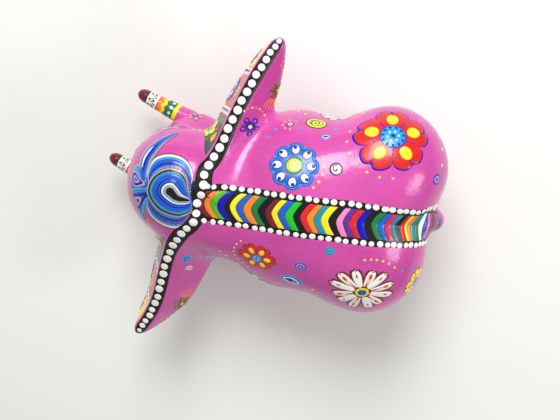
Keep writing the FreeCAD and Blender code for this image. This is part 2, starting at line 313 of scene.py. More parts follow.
@dataclass
class ElephantForm:
    """The whole figure as one signed field, in millimetres.

    Sizes repeat those of the solid model; the row's origin is found from a sole.
    """

    barrel: tuple = ((0, 0, 78), (75, 53, 39))
    haunch: tuple = ((-40, 28, 76), (39, 41, 37))
    shoulder: tuple = ((16, 27, 60), (28, 29, 31))
    neck: tuple = (74, 5, 116)
    head_yaw: float = -19.5
    head_roll: float = -5.0
    nape: tuple = ((-18, 0, -42), (30, 38, 36))
    cranium: tuple = ((14, 2, -36), (35.5, 36, 34))
    face: tuple = ((30, 0, -58), (20, 24, 30))
    cheek: tuple = ((18, 21.5, -74), (20, 14, 17))
    joint_x: float = -4.0
    ear_root: tuple = (-2, 12, -8)
    ear_droop: float = 13.0
    ear_length: float = 104.0
    ear_drop: float = 64.0
    ear_thick: float = 20.5
    ear_offset: float = 9.0
    ear_rim: float = 7.0
    ear_bow: tuple = (4.6, 3.0)
    ear_front_slope: float = 30.5 / 70
    ear_back_slope: float = 58.5 / 70
    right_ear_slope: float = 0.6
    ear_edge: float = 3.0
    ear_rim_edge: float = 2.5
    trunk: tuple = (((31, 0, -64), 14.5), ((36, 0, -82), 10.5), ((35, 0, -94), 9.0),
                    ((27, 0, -99), 7.5))
    rear_leg: tuple = ((-42, 29), 18.0, 21.0)
    front_leg: tuple = ((22, 23), 16.5, 19.0)
    leg_top: float = 56.0
    sole: float = 2.5
    sole_edge: float = 2.0
    tail: tuple = (((-68.5, 0, 91), 7.0), ((-77, 0, 80), 6.3), ((-78, 0, 56), 4.0),
                   ((-75, 0, 42), 6.0))
    side_blend: float = 14.0
    haunch_stagger: float = 3.2
    left_swell: float = 0.09
    rump_tuck: float = 0.05
    shoulder_lean: float = 4.0
    ear_plump: float = 4.5
    body_fillet: float = 16.0
    head_fillet: float = 11.0
    neck_fillet: float = 10.0
    ear_fillet: float = 12.0
    leg_fillet: float = 9.0
    trunk_fillet: float = 7.0
    tail_fillet: float = 4.0
    knuckle_fillet: float = 4.0
    shift: Array = field(default_factory=lambda: np.zeros(3))

    def __post_init__(self) -> None:
        """Find the row's origin from the rear left sole, and set up the head's axes."""
        low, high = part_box("sole_rear_left")
        middle = (np.array(low) + np.array(high)) / 2 / MM
        (x, y), _, _ = self.rear_leg
        self.shift = np.array([middle[0] - x, middle[1] - y, 0.0])
        yaw, roll = math.radians(self.head_yaw), math.radians(self.head_roll)
        about_z = np.array([[math.cos(yaw), -math.sin(yaw), 0],
                            [math.sin(yaw), math.cos(yaw), 0], [0, 0, 1]])
        about_x = np.array([[1, 0, 0], [0, math.cos(roll), -math.sin(roll)],
                            [0, math.sin(roll), math.cos(roll)]])
        self.head_place = Place(np.array(self.neck) + self.shift, about_z @ about_x)

    def body_field(self, body: Array) -> Array:
        """Barrel, haunches and shoulders, in body axes; the left side is a little fuller, as the
        hand-built one is, and its haunch sits a little further forward.

        Args:
            body: points in body axes.
        Returns:
            Distance to the body.
        """
        x, y, z = body[:, 0], body[:, 1], body[:, 2]
        left = 0.5 + 0.5 * np.tanh(y / self.side_blend)
        tucked = x * np.where(x < 0, 1 + self.rump_tuck, 1.0)
        swollen = np.stack([tucked, y * (1 - self.left_swell * left), z], -1)
        shape = ellipsoid(swollen, *self.barrel)
        haunch = np.stack([x - self.haunch_stagger * (2 * left - 1), np.abs(y), z], -1)
        shape = join(shape, ellipsoid(haunch, *self.haunch), self.body_fillet)
        leaning = self.shoulder_lean * np.maximum(2 * left - 1, 0)
        shoulder = np.stack([x, np.abs(y) - leaning, z], -1)
        return join(shape, ellipsoid(shoulder, *self.shoulder), self.body_fillet)

    def head_field(self, head: Array) -> Array:
        """Nape, cranium, face and cheeks, in head axes.

        Args:
            head: points in head axes.
        Returns:
            Distance to the head.
        """
        half = mirrored(head)
        shape = join(ellipsoid(head, *self.cranium), ellipsoid(head, *self.nape), self.head_fillet)
        shape = join(shape, ellipsoid(head, *self.face), self.head_fillet)
        return join(shape, ellipsoid(half, *self.cheek), self.head_fillet)

    def ear_axes(self, head: Array) -> tuple[Array, Array, Array]:
        """Distance along the rim, down the ear and forward of it, from head axes.

        Args:
            head: points in head axes.
        Returns:
            The three distances.
        """
        away = mirrored(head) - np.array(self.ear_root)
        droop = math.radians(self.ear_droop)
        along = math.cos(droop) * away[:, 1] - math.sin(droop) * away[:, 2]
        down = -(math.sin(droop) * away[:, 1] + math.cos(droop) * away[:, 2])
        return along, down, away[:, 0] - self.ear_bend(along, head[:, 1] < 0)

    def ear_bend(self, along: Array, right: Array | bool) -> Array:
        """How far the middle sheet bows forward: half a wave on the right, a whole one on the left.

        Args:
            along: distance along the rim.
            right: where the right ear is meant.
        Returns:
            Distance forward.
        """
        share = np.clip(along / self.ear_length, 0, 1)
        return np.where(right, self.ear_bow[0] * np.sin(np.pi * share) ** 0.7,
                        self.ear_bow[1] * np.sin(2 * np.pi * share))

    def ear_points(self, side: int, along: Array, down: Array, out: Array) -> Array:
        """Row points from ear axes, the other way round from the last.

        Args:
            side: 1 for the left ear, -1 for the right.
            along: distance along the rim.
            down: distance down from the rim.
            out: distance forward of the ear's middle sheet.
        Returns:
            Row points.
        """
        bow = self.ear_bend(along, side < 0)
        droop = math.radians(self.ear_droop)
        y = math.cos(droop) * along - math.sin(droop) * down + self.ear_root[1]
        z = -math.sin(droop) * along - math.cos(droop) * down + self.ear_root[2]
        head = np.stack([out + bow + self.ear_root[0], side * y, z], -1)
        return self.head_place.row(head)

    def ear_field(self, head: Array) -> Array:
        """A long flat lens trimmed by a wedge that opens downwards from the rim.

        Args:
            head: points in head axes.
        Returns:
            Distance to the ears.
        """
        along, down, out = self.ear_axes(head)
        tilt = math.atan2(self.ear_offset, self.ear_length)
        out_1 = out + self.ear_offset
        across = out_1 * math.cos(tilt) - along * math.sin(tilt)
        length = out_1 * math.sin(tilt) + along * math.cos(tilt)
        left = head[:, 1] > 0
        plump = 1 + self.ear_plump / self.ear_thick * left * (across < 0)
        lens = ellipsoid(np.stack([across / plump, down, length], -1), (0, 0, 0),
                         (self.ear_thick, self.ear_drop, self.ear_length))
        half = self.ear_rim / 2
        slope = np.where(left, 1.0, self.right_ear_slope) * self.ear_front_slope
        front = (out - half - slope * down) / np.hypot(1, slope)
        back = (-out - half - self.ear_back_slope * down) / math.hypot(1, self.ear_back_slope)
        shape = trim(trim(lens, front, self.ear_edge), back, self.ear_edge)
        return np.maximum(trim(shape, -down, self.ear_rim_edge), -along)

    def chain_field(self, points: Array, knots: tuple) -> Array:
        """A run of tapered limbs joined with a fillet.

        Args:
            points: points in the axes of the knots.
            knots: place and radius of each knot.
        Returns:
            Distance to the run.
        """
        pieces = [limb(points, start, end, r_1, r_2)
                  for (start, r_1), (end, r_2) in zip(knots[:-1], knots[1:])]
        shape = pieces[0]
        for piece in pieces[1:]:
            shape = join(shape, piece, self.knuckle_fillet)
        return shape

    def leg_field(self, body: Array, leg: tuple) -> Array:
        """A stub leg that widens upwards, cut flat at the sole.

        Args:
            body: points in body axes.
            leg: place, foot radius and top radius.
        Returns:
            Distance to the pair of legs.
        """
        (x, y), foot, top = leg
        half = mirrored(body)
        column = limb(half, (x, y, -8), (x, y, self.leg_top), foot, top)
        return trim(column, self.sole - body[:, 2], self.sole_edge)

    def parts(self, points: Array) -> dict[str, Array]:
        """Field of each part on its own.

        Args:
            points: row points in millimetres, one per line.
        Returns:
            Fields by part name.
        """
        points = points.astype(np.float32)
        body = (points - self.shift.astype(np.float32))
        head = self.head_place.local(points).astype(np.float32)
        return {
            "body": self.body_field(body),
            "head": self.head_field(head),
            "ear": self.ear_field(head),
            "trunk": self.chain_field(head, self.trunk),
            "leg_front": self.leg_field(body, self.front_leg),
            "leg_rear": self.leg_field(body, self.rear_leg),
            "tail": self.chain_field(body, self.tail),
        }

    def lumps(self, points: Array) -> Array:
        """Hand-modelled unevenness: a few slow waves across the pulp, under half a millimetre.

        Args:
            points: points in millimetres.
        Returns:
            Height to add to the field.
        """
        x, y, z = points[:, 0], points[:, 1], points[:, 2]
        slow = np.sin(x / 9.1 + 1.3 * np.sin(y / 13.0)) * np.cos(z / 10.7 + 0.4)
        quick = np.sin(y / 5.3 + 0.7 * np.cos(x / 7.0)) * np.sin(z / 6.1 + x / 8.9)
        return 0.26 * slow + 0.12 * quick

    def field(self, points: Array) -> Array:
        """Signed distance to the finished skin, millimetres, negative inside.

        Args:
            points: points in millimetres.
        Returns:
            A distance for each point.
        """
        part = self.parts(points)
        shape = join(part["body"], part["head"], self.neck_fillet)
        shape = join(shape, part["ear"], self.ear_fillet)
        shape = join(shape, part["trunk"], self.trunk_fillet)
        shape = join(shape, np.minimum(part["leg_front"], part["leg_rear"]), self.leg_fillet)
        shape = join(shape, part["tail"], self.tail_fillet)
        return shape + self.lumps(points.astype(np.float32))

    def normal(self, points: Array) -> Array:
        """Unit slope of the field, by central differences.

        Args:
            points: row points in millimetres.
        Returns:
            One direction of length one for each point.
        """
        slope = np.zeros((len(points), 3))
        for axis in range(3):
            step = np.zeros(3)
            step[axis] = SLOPE_STEP
            slope[:, axis] = self.field(points + step) - self.field(points - step)
        return unit(slope)

    def cast(self, start: Array, way: Array) -> Array:
        """Go from each start along its way until the skin is met.

        Args:
            start: row points in millimetres, outside the figure.
            way: unit directions.
        Returns:
            Points on the skin; one that meets nothing stops at the longest reach.
        """
        gone = np.zeros(len(start))
        for _ in range(CAST_STEPS):
            ahead = self.field(start + way * gone[:, None])
            gone = np.minimum(gone + CAST_SHARE * ahead, CAST_REACH)
        return start + way * gone[:, None]

    def settle(self, points: Array, lift: Array | float = 0.0, rounds: int = 4) -> Array:
        """Slide points onto the skin along the field's slope.

        Args:
            points: row points in millimetres.
            lift: height above the skin to end at.
            rounds: how often to slide.
        Returns:
            Points at that height over the skin.
        """
        points = np.array(points, float)
        for _ in range(rounds):
            points = points - self.normal(points) * self.field(points)[:, None]
        lift = np.broadcast_to(np.asarray(lift, float), (len(points),))
        return points + self.normal(points) * lift[:, None]


# ---------------------------------------------------------------- mesh helpers

def make_object(name: str, points: Array, faces: Array | list, materials: Sequence[bpy.types.Material],
                finish: Optional[Array] = None, normals: Optional[Array] = None) -> bpy.types.Object:
    """Put a mesh in the scene, smooth shaded, riding on the figure.

    Args:
        name: piece name.
        points: corners in millimetres of the row frame.
        faces: rows of corner numbers, or a list where quads and triangles are mixed.
        materials: materials of the piece.
        finish: material number of each face.
        normals: normal of each corner, if not worked out from the faces.
    Returns:
        The new object.
    """
    mesh = bpy.data.meshes.new(name)
    corners = (np.asarray(points) * MM).tolist()
    mesh.from_pydata(corners, [], faces if isinstance(faces, list) else faces.tolist())
    for material in materials:
        mesh.materials.append(material)
    if finish is not None:
        mesh.polygons.foreach_set("material_index", np.asarray(finish, np.int32))
    mesh.polygons.foreach_set("use_smooth", np.ones(len(mesh.polygons), bool))
    mesh.update()
    if normals is not None:
        mesh.normals_split_custom_set_from_vertices(np.asarray(normals).tolist())
    piece = bpy.data.objects.new(name, mesh)
    bpy.context.collection.objects.link(piece)
    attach(piece, "root")
    return piece


def unit(vectors: Array) -> Array:
    """Vectors at length one."""
    vectors = np.asarray(vectors, float)
    return vectors / np.maximum(np.sqrt((vectors ** 2).sum(-1, keepdims=True)), 1e-9)


def heading(angle: float) -> Array:
    """Direction on a sheet at an angle in radians."""
    return np.array([math.cos(angle), math.sin(angle)])


def facing(points: Array, quads: Array) -> Array:
    """Which way quads face: the cross product of their diagonals."""
    corner = points[quads]
    return np.cross(corner[:, 2] - corner[:, 0], corner[:, 3] - corner[:, 1])


def lattice(rows: int, cols: int, ring: bool = False) -> Array:
    """Quads between the points of a grid, row by row.

    Args:
        rows: how many rows of points.
        cols: how many points in a row.
        ring: whether the last point of a row joins up with its first.
    Returns:
        Corner numbers, one quad per line.
    """
    row, col = np.meshgrid(np.arange(rows - 1), np.arange(cols if ring else cols - 1), indexing="ij")
    after = (col + 1) % cols
    return np.stack([row * cols + col, (row + 1) * cols + col, (row + 1) * cols + after,
                     row * cols + after], -1).reshape(-1, 4)


# ---------------------------------------------------------------- the moulded skin

@dataclass
class Skin:
    """The papered skin, worked out as one level surface and then parted at the pieces' joins.

    A fan ear that flows into a neck has no single pair of surface parameters, so the skin
    is taken from the field on a voxel grid and slid exactly onto its zero level.
    """

    form: ElephantForm
    step: float = 1.15
    quick_step: float = 2.2
    margin: float = 6.0
    coarse: int = 4
    chunk: int = 400000

    NAMES = ("body_shell_left", "body_shell_right", "head_shell", "ear_left", "ear_right",
             "trunk", "leg_front_left", "leg_front_right", "leg_rear_left", "leg_rear_right",
             "tail")

    def grid(self) -> tuple[Array, Array, float]:
        """Sample the field; away from the skin a coarse grid's value is good enough.

        Returns:
            The samples, the grid's lowest corner and its step.
        """
        step = self.step
        low = np.array(CAD_BOX[0]) / MM - self.margin
        high = np.array(CAD_BOX[1]) / MM + self.margin
        coarse = self.coarse
        count = np.ceil((high - low) / (step * coarse)).astype(int) + 1
        axes = [low[i] + step * coarse * (np.arange(count[i]) + 0.5 - 0.5 / coarse)
                for i in range(3)]
        rough = np.stack(np.meshgrid(*axes, indexing="ij"), -1).reshape(-1, 3)
        rough_field = self.form.field(rough).reshape(count)
        full = rough_field.repeat(coarse, 0).repeat(coarse, 1).repeat(coarse, 2).astype(np.float32)
        near = np.argwhere(np.abs(full) < step * coarse * 1.6)
        for begin in range(0, len(near), self.chunk):
            cells = near[begin:begin + self.chunk]
            full[tuple(cells.T)] = self.form.field(low + cells * step)
        return full, low, step

    def build(self) -> dict[str, bpy.types.Object]:
        """Mesh the skin and part it into its pieces.

        Returns:
            Pieces by name.
        """
        samples, low, step = self.grid()
        volume = vdb.FloatGrid(background=float(samples.max()))
        volume.copyFromArray(samples)
        points, quads = volume.convertToQuads(isovalue=0.0)
        points = low + np.asarray(points, float) * step
        points = self.form.settle(points, rounds=2)
        normals = self.form.normal(points)
        quads = np.asarray(quads)
        if (facing(points, quads) * normals[quads[:, 0]]).sum() < 0:
            quads = quads[:, ::-1]
        owner = self.owners(points[quads].mean(1))
        pieces = {}
        for number, name in enumerate(self.NAMES):
            mine = quads[owner == number]
            used, again = np.unique(mine, return_inverse=True)
            piece = make_object(name + "_skin", points[used], again.reshape(mine.shape),
                                [Paint.PINK.material()], normals=normals[used])
            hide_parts(name)
            pieces[name] = piece
            LOG.info("%s: %d faces", name, len(mine))
        return pieces

    def owners(self, middles: Array) -> Array:
        """Which piece each face belongs to: the part whose own field is lowest there.

        Args:
            middles: middles of the faces, row millimetres.
        Returns:
            Number of the piece in NAMES, for each face.
        """
        part = self.form.parts(middles)
        body = middles - self.form.shift
        head = self.form.head_place.local(middles)
        left = body[:, 1] > 0
        ear_left = head[:, 1] > 0
        torso = np.minimum(part["body"], part["head"])
        owner = np.where(head[:, 0] > self.form.joint_x, 2, np.where(left, 0, 1))
        owner = np.where(part["ear"] < torso - 1.0, np.where(ear_left, 3, 4), owner)
        lowest = np.minimum(torso, part["ear"])
        owner[part["trunk"] < lowest - 0.5] = 5
        for leg, on_left, on_right in (("leg_front", 6, 7), ("leg_rear", 8, 9)):
            mine = part[leg] < np.minimum(lowest, part["tail"]) - 0.5
            owner = np.where(mine, np.where(left, on_left, on_right), owner)
        owner[part["tail"] < lowest - 0.5] = 10
        return owner


# ---------------------------------------------------------------- brushwork laid on the skin

RINGS = np.array([0.0, 0.30, 0.55, 0.75, 0.90, 1.0])
DOT_RINGS = np.array([0.0, 0.50, 0.86, 1.0])
BROAD_RINGS = np.array([0.0, 0.30, 0.55, 0.75, 0.90, 0.98, 1.0])
DOT_TURNS = 16     # outlines with no more points than this count as dots
BROAD_TURNS = 80   # and with as many as this, as broad fields
COAT = 0.07        # mm from one layer of paint to the next
EDGE_DIP = 0.12    # mm that a patch's edge dips below its layer


@dataclass
class Brushwork:
    """Patches of thick paint that follow the skin.

    Each patch is worked out flat, in millimetres on the sheet in use, then the sheet says where
    the points start in space and the form slides them onto the skin at the paint's height.
    """

    form: ElephantForm
    name: str
    sheet: Optional[Callable[[Array], Array]] = None
    slot: str = "pink_lacquered_paper"
    start: list = field(default_factory=list)
    height: list = field(default_factory=list)
    faces: list = field(default_factory=list)
    paints: list = field(default_factory=list)
    count: int = 0
    base: float = 0.0

    def level(self, layer: float) -> float:
        """Height in millimetres of a layer over the skin."""
        return COAT * (layer + self.base)

    def add(self, flat: Array, height: Array, faces: Array, paint: Paint) -> None:
        """Keep one patch for the final mesh.

        Args:
            flat: its points on the sheet in use.
            height: height of each point over the skin.
            faces: quads of its own point numbers.
            paint: its colour.
        """
        self.start.append(self.sheet(np.asarray(flat, float)))
        self.height.append(height)
        self.faces.append(faces + self.count)
        self.paints.append((paint, len(faces)))
        self.count += len(flat)

    def blob(self, outline: Array, centre: Sequence[float], paint: Paint,
             layer: float = 1, relief: float = 0.12) -> None:
        """Fill a closed outline seen whole from a centre.

        Each point is the centre plus a share of the way to the outline, on rings; the height
        is the layer plus the relief times one less the share to the fourth, and the last ring
        dips under the skin.

        Args:
            outline: points round the patch.
            centre: point it is filled from.
            paint: its colour.
            layer: how many coats lie below.
            relief: height of its crown in millimetres.
        """
        turns = len(outline)
        rings = (DOT_RINGS if turns <= DOT_TURNS else RINGS if turns < BROAD_TURNS
                 else BROAD_RINGS)
        centre = np.array(centre, float)
        flat = centre + rings[:, None, None] * (outline[None] - centre)
        height = self.level(layer) + relief * (1 - rings ** 4)
        height[-1] = self.level(layer) - EDGE_DIP
        self.add(flat.reshape(-1, 2), np.repeat(height, turns), lattice(len(rings), turns, True),
                 paint)

    def disc(self, centre: Sequence[float], radius: float, paint: Paint, layer: float = 1,
             relief: float = 0.12, stretch: float = 1.0, turn: float = 0.0,
             turns: int = 20) -> None:
        """Fill an ellipse: radius along its turned first axis, radius times stretch across.

        Args:
            centre: its middle on the sheet.
            radius: half its length.
            paint: its colour.
            layer: how many coats lie below.
            relief: height of its crown in millimetres.
            stretch: its width over its length.
            turn: angle of its long axis in radians.
            turns: points round it.
        """
        angle = np.linspace(0, 2 * np.pi, turns, endpoint=False)
        long, wide = radius * np.cos(angle), radius * stretch * np.sin(angle)
        c, s = math.cos(turn), math.sin(turn)
        outline = np.stack([centre[0] + c * long - s * wide, centre[1] + s * long + c * wide], -1)
        self.blob(outline, centre, paint, layer, relief)

    def stroke(self, path: Array, width: Array | float, paint: Paint, layer: float = 1,
               relief: float = 0.08, across: int = 5) -> None:
        """Draw a brush line: the path, plus up to half its width to either side.

        Args:
            path: points along the line.
            width: full width at each point, or one for all.
            paint: its colour.
            layer: how many coats lie below.
            relief: height of its crown in millimetres.
            across: points across the line.
        """
        path = np.asarray(path, float)
        width = np.broadcast_to(np.asarray(width, float), (len(path),))
        way = unit(np.gradient(path, axis=0))
        side = np.stack([-way[:, 1], way[:, 0]], -1)
        share = np.concatenate([[-1.0], np.linspace(-0.82, 0.82, across - 2), [1.0]])
        flat = path[:, None] + 0.5 * width[:, None, None] * share[None, :, None] * side[:, None]
        crown = self.level(layer) + relief * (1 - share ** 4)
        crown[[0, -1]] = self.level(layer) - EDGE_DIP
        self.add(flat.reshape(-1, 2), np.tile(crown, len(path)), lattice(len(path), across), paint)

    def panel(self, flat: Array, paint: Paint, layer: float = 1, relief: float = 0.05) -> None:
        """Fill a grid of points given whole, dipping under the skin at its border.

        Args:
            flat: points on the sheet in rows and columns.
            paint: its colour.
            layer: how many coats lie below.
            relief: height of its crown in millimetres.
        """
        rows, cols = flat.shape[:2]
        height = np.full((rows, cols), self.level(layer) + relief)
        height[[0, -1], :] = self.level(layer) - EDGE_DIP
        height[:, [0, -1]] = self.level(layer) - EDGE_DIP
        self.add(flat.reshape(-1, 2), height.reshape(-1), lattice(rows, cols), paint)

    def finish(self) -> bpy.types.Object:
        """Lay every patch on the skin and make one piece of them.

        Returns:
            The piece.
        """
        points = self.form.settle(np.concatenate(self.start), np.concatenate(self.height), rounds=3)
        faces = np.concatenate(self.faces)
        normals = self.form.normal(points)
        wrong = (facing(points, faces) * normals[faces[:, 1]]).sum(-1) < 0
        faces[wrong] = faces[wrong][:, ::-1]
        used = list(dict.fromkeys(paint for paint, _ in self.paints))
        finish = np.concatenate([np.full(n, used.index(paint)) for paint, n in self.paints])
        piece = make_object(self.name, points, faces, [p.material() for p in used], finish)
        LOG.info("%s: %d faces", self.name, len(faces))
        return piece


# ---------------------------------------------------------------- ways of laying paint on the skin

def closed_curve(knots: Sequence[Sequence[float]], count: int = 48) -> Array:
    """Smooth closed line through knots.

    Each stretch between two knots is the usual cubic whose slope at a knot is half the step
    from the knot before to the knot after.

    Args:
        knots: points the line passes through, in order.
        count: how many points to return.
    Returns:
        Points along the line.
    """
    knots = np.asarray(knots, float)
    share = np.linspace(0, len(knots), count, endpoint=False)
    return cubic(knots, share, True)


def open_curve(knots: Sequence[Sequence[float]], count: int = 32) -> Array:
    """Smooth open line through knots, by the same cubic as the closed one."""
    knots = np.asarray(knots, float)
    return cubic(knots, np.linspace(0, len(knots) - 1, count), False)


def cubic(knots: Array, share: Array, loop: bool) -> Array:
    """Catmull-Rom points at fractional knot numbers.

    Args:
        knots: points to pass through.
        share: places along the line, in knots.
        loop: whether the line closes.
    Returns:
        Points along the line.
    """
    number = len(knots)
    first = np.floor(share).astype(int)
    if not loop:
        first = np.minimum(first, number - 2)
    t = (share - first)[:, None]
    pick = (lambda i: knots[i % number]) if loop else (lambda i: knots[np.clip(i, 0, number - 1)])
    a, b, c, d = pick(first - 1), pick(first), pick(first + 1), pick(first + 2)
    return 0.5 * (2 * b + (c - a) * t + (2 * a - 5 * b + 4 * c - d) * t ** 2
                  + (3 * b - a - 3 * c + d) * t ** 3)


def leaf(reach: float, wide: float, pinch: float, turns: int) -> Array:
    """Pointed oval: cosine times reach along, and across it the sine times its width, drawn
    in by a pinch that grows with the cosine squared."""
    a = np.linspace(0, 2 * np.pi, turns, endpoint=False)
    return np.stack([reach * np.cos(a), wide * np.sin(a) * (1 - pinch * np.cos(a) ** 2)], -1)


def polar(radius: Callable[[Array], Array], turns: int = 72) -> Array:
    """Outline whose distance from the middle is a function of the angle.

    Args:
        radius: distance as a function of the angle.
        turns: how many points.
    Returns:
        Points of the outline.
    """
    angle = np.linspace(0, 2 * np.pi, turns, endpoint=False)
    reach = radius(angle)
    return np.stack([reach * np.cos(angle), reach * np.sin(angle)], -1)


@dataclass
class Spot:
    """A place on the skin with a flat sheet of paper held against it.

    Sheet points are the place plus the first number along the sheet's right and the second
    along its up; the form then wraps them on.
    """

    form: ElephantForm
    start: Array
    aim: Array
    right: Sequence[float] = (-0.99, -0.135, -0.03)
    turn: float = 0.0

    def __post_init__(self) -> None:
        """Find the place by going from the start along the aim until the skin is met."""
        self.place = self.form.cast(np.array([self.start], float), unit([self.aim]))[0]
        normal = self.form.normal(self.place[None])[0]
        right = np.asarray(self.right, float)
        right = unit(right - normal * (right @ normal))
        up = np.cross(normal, right)
        angle = math.radians(self.turn)
        self.u = math.cos(angle) * right + math.sin(angle) * up
        self.v = -math.sin(angle) * right + math.cos(angle) * up

    def __call__(self, flat: Array) -> Array:
        """Space points of sheet points."""
        return self.place + flat[:, :1] * self.u + flat[:, 1:] * self.v


@dataclass
class Stencil:
    """A stencil held level in front of the skin: paint falls straight through onto it."""

    form: ElephantForm
    middle: Array
    right: Array
    up: Array

    def __call__(self, flat: Array) -> Array:
        """Space points of stencil points, dropped onto the skin.

        Args:
            flat: points on the sheet.
        Returns:
            Row points near the skin.
        """
        away = unit(np.cross(self.right, self.up))
        start = self.middle + flat[:, :1] * self.right + flat[:, 1:] * self.up + 45 * away
        return self.form.cast(start, np.broadcast_to(-away, start.shape))


@dataclass
class Trail:
    """A line along the skin: the first number runs along it and the second across it."""

    form: ElephantForm
    guide: Array

    def __post_init__(self) -> None:
        """Settle the guide on the skin and space it evenly."""
        points = self.form.settle(self.guide, rounds=3)
        step = np.sqrt((np.diff(points, axis=0) ** 2).sum(-1))
        reach = np.concatenate([[0], np.cumsum(step)])
        self.length = float(reach[-1])
        self.run = np.linspace(0, self.length, int(self.length / 0.8) + 8)
        self.points = np.stack([np.interp(self.run, reach, points[:, i]) for i in range(3)], -1)
        self.points = self.form.settle(self.points, rounds=2)
        ahead = unit(np.gradient(self.points, axis=0))
        normal = self.form.normal(self.points)
        side = unit(np.cross(normal, ahead))
        for _ in range(6):
            side[1:-1] = unit(side[:-2] + 2 * side[1:-1] + side[2:])
        self.side = side

    def __call__(self, flat: Array) -> Array:
        """Space points of trail points.

        Args:
            flat: points on the sheet.
        Returns:
            Row points near the skin.
        """
        at = np.stack([np.interp(flat[:, 0], self.run, self.points[:, i]) for i in range(3)], -1)
        side = np.stack([np.interp(flat[:, 0], self.run, self.side[:, i]) for i in range(3)], -1)
        return at + flat[:, 1:] * side

    def patch(self, along: float, across: float) -> Callable[[Array], Array]:
        """A small flat sheet at one place of the line, so that a dot keeps round where it bends.

        Args:
            along: distance along the line.
            across: distance to its side.
        Returns:
            The sheet.
        """
        start = self(np.array([[along, across]]))
        ahead = unit(self(np.array([[along + 1.5, across]])) - self(np.array([[along - 1.5, across]])))
        side = unit(self(np.array([[along, across + 1.0]])) - start)
        return lambda flat: start + flat[:, :1] * ahead + flat[:, 1:] * side


# ---------------------------------------------------------------- flowers and other motifs

